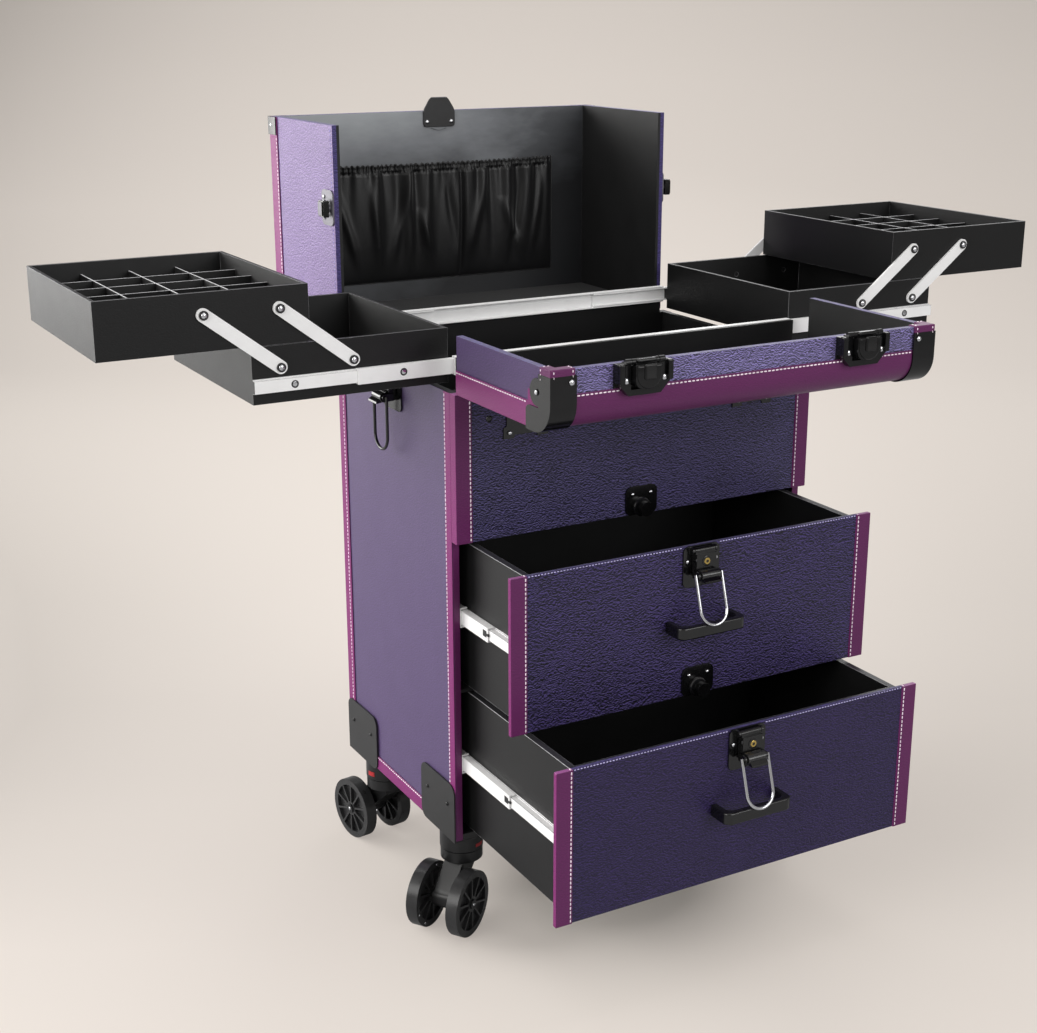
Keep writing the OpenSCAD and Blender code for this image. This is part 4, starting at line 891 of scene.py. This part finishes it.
# Screws of the tray links: X of each lower pivot, how far out and up the pivots are, and a link's
# run from its lower to its upper pivot. Screws of the tray rails, in their seats.
PIVOTS = (("a", 316.5), ("b", 256.0))
PIVOT_Y, PIVOT_Z = 101.95, 436
LINK_RUN = ((0, 0), (59.25, 45.5))
SEAT = [(3.1, 0), (3.1, 0.04), (2.9, 0.06)]
for side, s in SIDES:
    for link, x in PIVOTS:
        ends = [((s * (x + dx), e * PIVOT_Y, PIVOT_Z + dz), (0, e, 0))
                for dx, dz in LINK_RUN for e in (-1, 1)]
        domes("link_%s_%s_screws" % (link, side), "tray_link_%s_%s" % (link, side), CHROME, ends,
              2.3, 1.1)
    for name, body, x, y in (("rail", "lower_tray_" + side, 306.6, 102.7),
                             ("mid", "tray_mids_" + side, 214.8, 104.1)):
        ends = [((s * x, e * y, 422.3), (0, e, 0)) for e in (-1, 1)]
        turned("tray_%s_%s_seats" % (side, name), body, SLEEVE, ends, SEAT, 24)
        domes("tray_%s_%s_screws" % (side, name), body, CHROME, ends, 2.1, 0.15)
ends = [((x, 104.25, 424.4), (0, -1, 0)) for x in (-91.6, 91.6)]
turned("far_rail_seats", "cabinet", SLEEVE, ends, SEAT, 24)
domes("far_rail_screws", "cabinet", CHROME, ends, 2.1, 0.15)


# Rivets stand on the CAD's own rivet seats
y = FRONT + TRIM - PLATE
spots = [((s * CATCH_X, y, FIXED_Z + CATCH_UP), (0, -1, 0)) for s in (-1, 1)]
for s in (-1, 1):
    for e in (-1, 1):
        spots.append(((s * (SIDE + PLATE), MID_Y + e * RIVET_X, TOP - RIVET_DROP), (s, 0, 0)))
        spots.append(((s * 115 + e * 15, y, TOP - 37), (0, -1, 0)))
domes("cabinet_rivets", "cabinet", CHROME, spots, 1.7, 0.8)
spots = []
for s in (-1, 1):
    for y in (13.2, 52.8):
        spots += [((s * (HALF + 1.9), e, 32), (s, 0, 0)) for e in (FRONT_IN + y, BACK - y)]
domes("guard_screws", "cabinet", GREY_BLACK, spots, 1.5, 0.8)
spots = [((s * 148.6, FRONT + 0.95, 380), (0, -1, 0)) for s in (-1, 1)]
domes("lone_rivets", "cabinet", BLACK, spots, 3.0, 1.6)
for k, (z0, out) in DRAWERS.items():
    face = FRONT - out + TRIM - PLATE
    spots = [((s * RIVET_X, face, z0 + FRONT_H - RIVET_DROP), (0, -1, 0)) for s in (-1, 1)]
    if k == "upper":
        spots += [((s * CATCH_X, face, z0 + CATCH_UP), (0, -1, 0)) for s in (-1, 1)]
    domes("drawer_%s_rivets" % k, "drawer_" + k, CHROME, spots, 1.7, 0.8)
spots = []
for s in (-1, 1):
    spots.append(((s * (HALF + 2.1), FLAP_FRONT + 18, HINGE_Z + 29), (s, 0, 0), 2.0))
    spots.append(((s * 163.5, FLAP_FRONT - 2.1, HINGE_Z + 38), (0, -1, 0), 2.2))
    for e in (-1, 1):
        x = s * FLAP_LATCH_X + e * 16.5
        spots.append(((x, FLAP_FRONT - 6.9, RIM_Z - 12.5), (0, -1, 0), 2.3))
domes("flap_rivets", "flap", CHROME, spots)
spots = [((s * 13.5, LINING_Y - 2.1, TONGUE_Z + 5), (0, -1, 0), 2.1) for s in (-1, 1)]
for s in (-1, 1):
    x = s * (LID_HALF + PLATE)
    for e in (-1, 1):
        spots.append(((x, LID_Y + 19, HINGE_Z + 121.75 + e * CATCH_X), (s, 0, 0)))
    spots.append(((s * (LID_HALF + TRIM + 1.1), LID_BACK - 6, HINGE_Z + 187), (s, 0, 0), 1.8))
domes("lid_rivets", "lid", CHROME, spots)


# Casters: red marks on the housings, hub caps and small screws on the wheels' inner rims

def marks(name, spots):
    """Curved marks on the housings: side in X and Y, angle and half its spread in degrees, and
    lower and upper edge in mm."""
    bm = bmesh.new()
    for sx, sy, mid, half, z0, z1 in spots:
        cx, cy = sx * CASTER_X, MID_Y + sy * CASTER_Y
        for r in (19.55, 19.8):
            line = []
            for i in range(9):
                a = math.radians(mid - half + 2 * half * i / 8)
                x, y = cx + r * math.cos(a), cy + r * math.sin(a)
                line.append([bm.verts.new(at(x, y, z)) for z in (z0, z1)])
            for p, q in zip(line, line[1:]):
                bm.faces.new((p[0], q[0], q[1], p[1]))
    bmesh.ops.recalc_face_normals(bm, faces=bm.faces)
    o = mesh_object(name, bm, [RED], "cabinet", 30)


marks("red_marks", [(-1, 1, 198, 12, -16, -11.5), (-1, -1, 298, 14, -16.5, -13.5),
                    (1, 1, 10, 12, -11, -6.5), (1, -1, 230, 9, -9.5, -7)])
for k, sx, sy, yaw in (("fl", -1, -1, -56), ("fr", 1, -1, -20), ("rl", -1, 1, 189),
                       ("rr", 1, 1, 150)):
    a = math.radians(yaw)
    mid = Vector((sx * CASTER_X + TRAIL * math.sin(a),
                  MID_Y + sy * CASTER_Y - TRAIL * math.cos(a), AXLE_Z))
    axle, fore = Vector((math.cos(a), math.sin(a), 0)), Vector((-math.sin(a), math.cos(a), 0))
    caps, screws = [], []
    for e in (-1, 1):
        caps.append((mid + axle * e * 27.0, axle * e, 1.7))
        for t in (50, 75, 200, 235):
            q = fore * math.cos(math.radians(t)) + Vector((0, 0, 1)) * math.sin(math.radians(t))
            screws.append((mid + axle * e * 14.5 + q * 26.5, -axle * e, 1.0))
    domes("hub_caps_" + k, "caster_fork_" + k, CHROME, caps, 1.7, 0.7)
    domes("rim_screws_" + k, "caster_wheels_" + k, CHROME, screws, 1.0, 0.5)


# Gathered pocket: an elastic hem with a tight ruffle over soft folds, sewn at the foot, the sides
# and a seam. Width and height in mm, the foot over the hinge line, the seam's X, and the share of
# the height at which the hem begins.
POCKET_W = 262
POCKET_H = 119
POCKET_FOOT = 26
SEAM_X = 20
HEM_V = 0.93


def ripple(u, k):
    """A wave of about k crests across the pocket, closer here and wider there."""
    return math.sin(2 * math.pi * k * u + 1.7 * math.sin(2 * math.pi * 2.3 * u + k))


# Slanting tucks of the cloth: X and share of the height at each end, height and width in mm
TUCKS = [(-118, 0.8, -92, 0.05, 3.2, 4.5), (-84, 0.9, -72, 0.15, 2.6, 5.0),
         (-38, 0.92, -58, 0.2, 3.0, 5.5), (-26, 0.55, -6, 0.02, 2.6, 5.0),
         (2, 0.9, 14, 0.3, -2.4, 5.0), (48, 0.93, 30, 0.25, 2.8, 5.5),
         (70, 0.6, 96, 0.02, 3.0, 5.0), (92, 0.9, 82, 0.35, -2.4, 4.5),
         (116, 0.85, 104, 0.2, 2.4, 4.5)]


def pocket_stand(u, v):
    """How far the cloth stands off the lining in mm, with u across and v up from 0 to 1."""
    x = (u - 0.5) * POCKET_W
    side = max(0.0, 1 - abs(2 * u - 1) ** 7) ** 0.5
    seam = 1 - 0.3 * math.exp(-((x - SEAM_X) / 2.6) ** 2)
    rise = math.sin(math.radians(min(90, v * 118))) ** 0.55 if v > 0 else 0
    fall = 0.5 + 0.5 * math.sin(2 * math.pi * (u * 5.3 + 0.21))
    lean = u + 0.018 * (1 - v) * math.sin(2 * math.pi * 2.6 * u)
    fold = 2.6 * ripple(lean, 7) * (0.5 + 0.5 * v)
    fold += 1.7 * ripple(lean + 0.13, 13) * (0.25 + 0.75 * v * v)
    fold += 0.8 * ripple(lean, 24) * v ** 4
    fold *= 0.6 + 0.4 * fall
    body = 12.0 - 3.0 * v + 1.2 * math.sin(math.pi * v) * fall
    for x0, v0, x1, v1, high, wide in TUCKS:
        t = (v - v0) / (v1 - v0)
        if -0.15 < t < 1.15:
            near = math.exp(-((x - x0 - (x1 - x0) * t) / wide) ** 2)
            fold += high * near * max(0.0, math.sin(math.pi * (t + 0.15) / 1.3)) ** 0.7
    ruffle = 0.0
    if v > HEM_V:
        w = min(1.0, (v - HEM_V) / 0.02)
        ruffle = w * (0.7 * ripple(u, 58) + 0.4 * ripple(u + 0.3, 91))
        pinch = math.exp(-((v - 0.975) / 0.008) ** 2) + math.exp(-((v - 0.935) / 0.008) ** 2)
        ruffle -= 0.8 * pinch
        fold *= 1 - 0.5 * w
    return 0.5 + side * seam * rise * (body + fold * min(1.0, 3.2 * v)) + side * seam * ruffle


def pocket_piece():
    cols, rows = 520, 74
    bm = bmesh.new()
    grid = []
    for j in range(rows + 1):
        v = j / rows
        line = []
        for i in range(cols + 1):
            u = i / cols
            x = (u - 0.5) * POCKET_W + 0.5 * ripple(u, 15) * v * (1 - abs(2 * u - 1))
            drop = 0.9 * ripple(u, 47) * max(0.0, (v - HEM_V) / 0.07)
            sag = -1.6 * math.sin(math.pi * u) * v
            z = HINGE_Z + POCKET_FOOT + POCKET_H * v + drop + sag * 0.5
            line.append(bm.verts.new(at(x, LINING_Y - pocket_stand(u, v), z)))
        grid.append(line)
    for a, b in zip(grid, grid[1:]):
        for i in range(cols):
            bm.faces.new((a[i], a[i + 1], b[i + 1], b[i]))
    bmesh.ops.recalc_face_normals(bm, faces=bm.faces)
    area = sum(f.calc_area() for f in bm.faces)
    o = mesh_object("pocket_cloth_piece", bm, [CLOTH], "lid", 180)
    thick = o.modifiers.new("thickness", "SOLIDIFY")
    thick.thickness = 0.0006
    thick.offset = 0
    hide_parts("lid_pocket")


pocket_piece()

# Floor and backdrop: one pale sweep, turned to face the photograph's viewpoint. Its paint is laid
# out from that fixed point, given in the sweep's own axes, as the light falls in the photograph,
# and is no nearer to it than NEAREST, in metres.
STAGE = Mat("stage", srgb(226, 219, 212), 0.9, 0.0, 0.1)
VIEWPOINT = Vector((-0.0564, -1.4666, 0.7944))
NEAREST = 0.9
# Brightness from the foot of the picture to its top, and how strongly it falls to the sides there
LEVELS = [(0.0, 0.905), (0.1, 0.9), (0.25, 0.885), (0.4, 0.91), (0.6, 0.935), (0.8, 0.92),
          (0.92, 0.895), (1.0, 0.86)]
FALLS = [(0.0, 0.0), (0.08, 0.15), (0.18, 1.0), (0.32, 2.25), (0.42, 2.25), (0.57, 1.6),
         (0.8, 0.95), (1.0, 1.5)]
DARKEST, PALEST = 0.62, 0.94
GAMMA = 2.2
# Its own light: colour, the share of it that the camera sees, and the brightness far out
OWN_COLOUR = (1.0, 0.912, 0.84)
OWN_LIGHT = 0.55
FAR_LIGHT = 0.63
# Middle and reach of the floor under the case and its drawers, in metres
FOOT_X, FOOT_Y, FOOT_REACH = -0.015, -0.09, 0.12

offset = STAGE.add("ShaderNodeVectorMath", operation="SUBTRACT")
offset.inputs[1].default_value = VIEWPOINT
STAGE.link(STAGE.place, offset.inputs[0])


def along(v):
    """How far a place on the sweep is from the viewpoint along v, in metres."""
    n = STAGE.add("ShaderNodeVectorMath", operation="DOT_PRODUCT")
    n.inputs[1].default_value = v
    STAGE.link(offset.outputs["Vector"], n.inputs[0])
    return n.outputs["Value"]


def times(a, b):
    return STAGE.maths("MULTIPLY", a, b)


def clamped(v, low, high):
    return STAGE.maths("MINIMUM", STAGE.maths("MAXIMUM", v, low), high)


depth = STAGE.maths("MAXIMUM", along((0, math.cos(EL), -math.sin(EL))), NEAREST)
over = STAGE.maths("DIVIDE", along((1, 0, 0)), depth)
up = STAGE.maths("DIVIDE", along((0, math.sin(EL), math.cos(EL))), depth)
rise = STAGE.maths("MULTIPLY_ADD", up, 1.6, 0.5)
level = STAGE.ramp(rise, LEVELS)
fall = STAGE.ramp(rise, FALLS)
lean = STAGE.maths("MULTIPLY_ADD", over, -1.5, 1.0)
lop = times(times(over, over), lean)
rays = STAGE.add("ShaderNodeLightPath")
# The floor is darker in the light it gives the case than to the camera. The Mix node's sockets 6, 7
# and 2 are its colours.
skin = STAGE.add("ShaderNodeMix", data_type="RGBA")
skin.inputs[6].default_value = (0.42, 0.42, 0.42, 1)
skin.inputs[7].default_value = srgb(228, 221, 214)
STAGE.link(rays.outputs["Is Camera Ray"], skin.inputs[0])
STAGE.link(skin.outputs[2], STAGE.b.inputs["Base Color"])
shade = clamped(STAGE.maths("SUBTRACT", level, times(fall, lop)), DARKEST, PALEST)
tint = STAGE.maths("POWER", shade, GAMMA)
# Far out to the sides and behind the viewpoint the sweep fades into the world's own colour
aside = STAGE.maths("MULTIPLY_ADD", STAGE.maths("ABSOLUTE", over), 2.0, -0.8)
behind = STAGE.maths("MULTIPLY_ADD", along((0, 1, 0)), -1.2, 1.08)
far = clamped(STAGE.maths("MAXIMUM", aside, behind), 0.0, 1.0)
near = STAGE.maths("SUBTRACT", 1.0, far)
tint = STAGE.maths("ADD", times(tint, near), times(far, FAR_LIGHT))
# Under the case and its drawers the floor gives no light of its own, so that their shadow is deep
foot = Vector((FOOT_X * math.cos(AZ) + FOOT_Y * math.sin(AZ),
               FOOT_Y * math.cos(AZ) - FOOT_X * math.sin(AZ), 0))
from_foot = STAGE.add("ShaderNodeVectorMath", operation="DISTANCE")
STAGE.link(STAGE.place, from_foot.inputs[0])
from_foot.inputs[1].default_value = foot
reach = STAGE.maths("DIVIDE", from_foot.outputs["Value"], FOOT_REACH)
dark = STAGE.maths("EXPONENT", times(times(reach, reach), -1.0))
dark = STAGE.maths("MINIMUM", times(dark, 1.4), 1.0)
glow = STAGE.add("ShaderNodeVectorMath", operation="SCALE")
glow.inputs[0].default_value = OWN_COLOUR
STAGE.link(tint, glow.inputs["Scale"])
shine = STAGE.add("ShaderNodeEmission")
STAGE.link(glow.outputs["Vector"], shine.inputs["Color"])
share = STAGE.maths("ADD", STAGE.maths("MULTIPLY_ADD", dark, -OWN_LIGHT, OWN_LIGHT),
                    times(far, 1 - OWN_LIGHT))
share = times(rays.outputs["Is Camera Ray"], share)
blend = STAGE.add("ShaderNodeMixShader")
STAGE.link(share, blend.inputs["Fac"])
STAGE.link(STAGE.b.outputs["BSDF"], blend.inputs[1])
STAGE.link(shine.outputs["Emission"], blend.inputs[2])
STAGE.link(blend.outputs["Shader"], STAGE.t.nodes["Material Output"].inputs["Surface"])
# The sweep in metres: a flat floor just under the wheels, a bend and an upright wall
REACH, FLOOR_END, BEND, WALL, UNDER = 7.0, 2.2, 1.6, 6.0, 0.0002
bm = bmesh.new()
arc = [math.radians(a) for a in range(0, 91, 6)]
profile = [(FLOOR_END + BEND * math.sin(a), BEND - BEND * math.cos(a)) for a in arc]
profile = [(-REACH, 0.0)] + profile + [(FLOOR_END + BEND, WALL)]
cols = [[bm.verts.new(Vector((x, y, z - UNDER))) for y, z in profile] for x in (-REACH, REACH)]
for i in range(len(profile) - 1):
    bm.faces.new((cols[0][i], cols[1][i], cols[1][i + 1], cols[0][i + 1]))
me = bpy.data.meshes.new("sweep")
bm.to_mesh(me)
bm.free()
me.materials.append(STAGE.m)
sweep = bpy.data.objects.new("sweep", me)
bpy.context.scene.collection.objects.link(sweep)
sweep.rotation_euler = (0, 0, AZ)
for p in me.polygons:
    p.use_smooth = True
sweep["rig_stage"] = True

low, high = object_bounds()
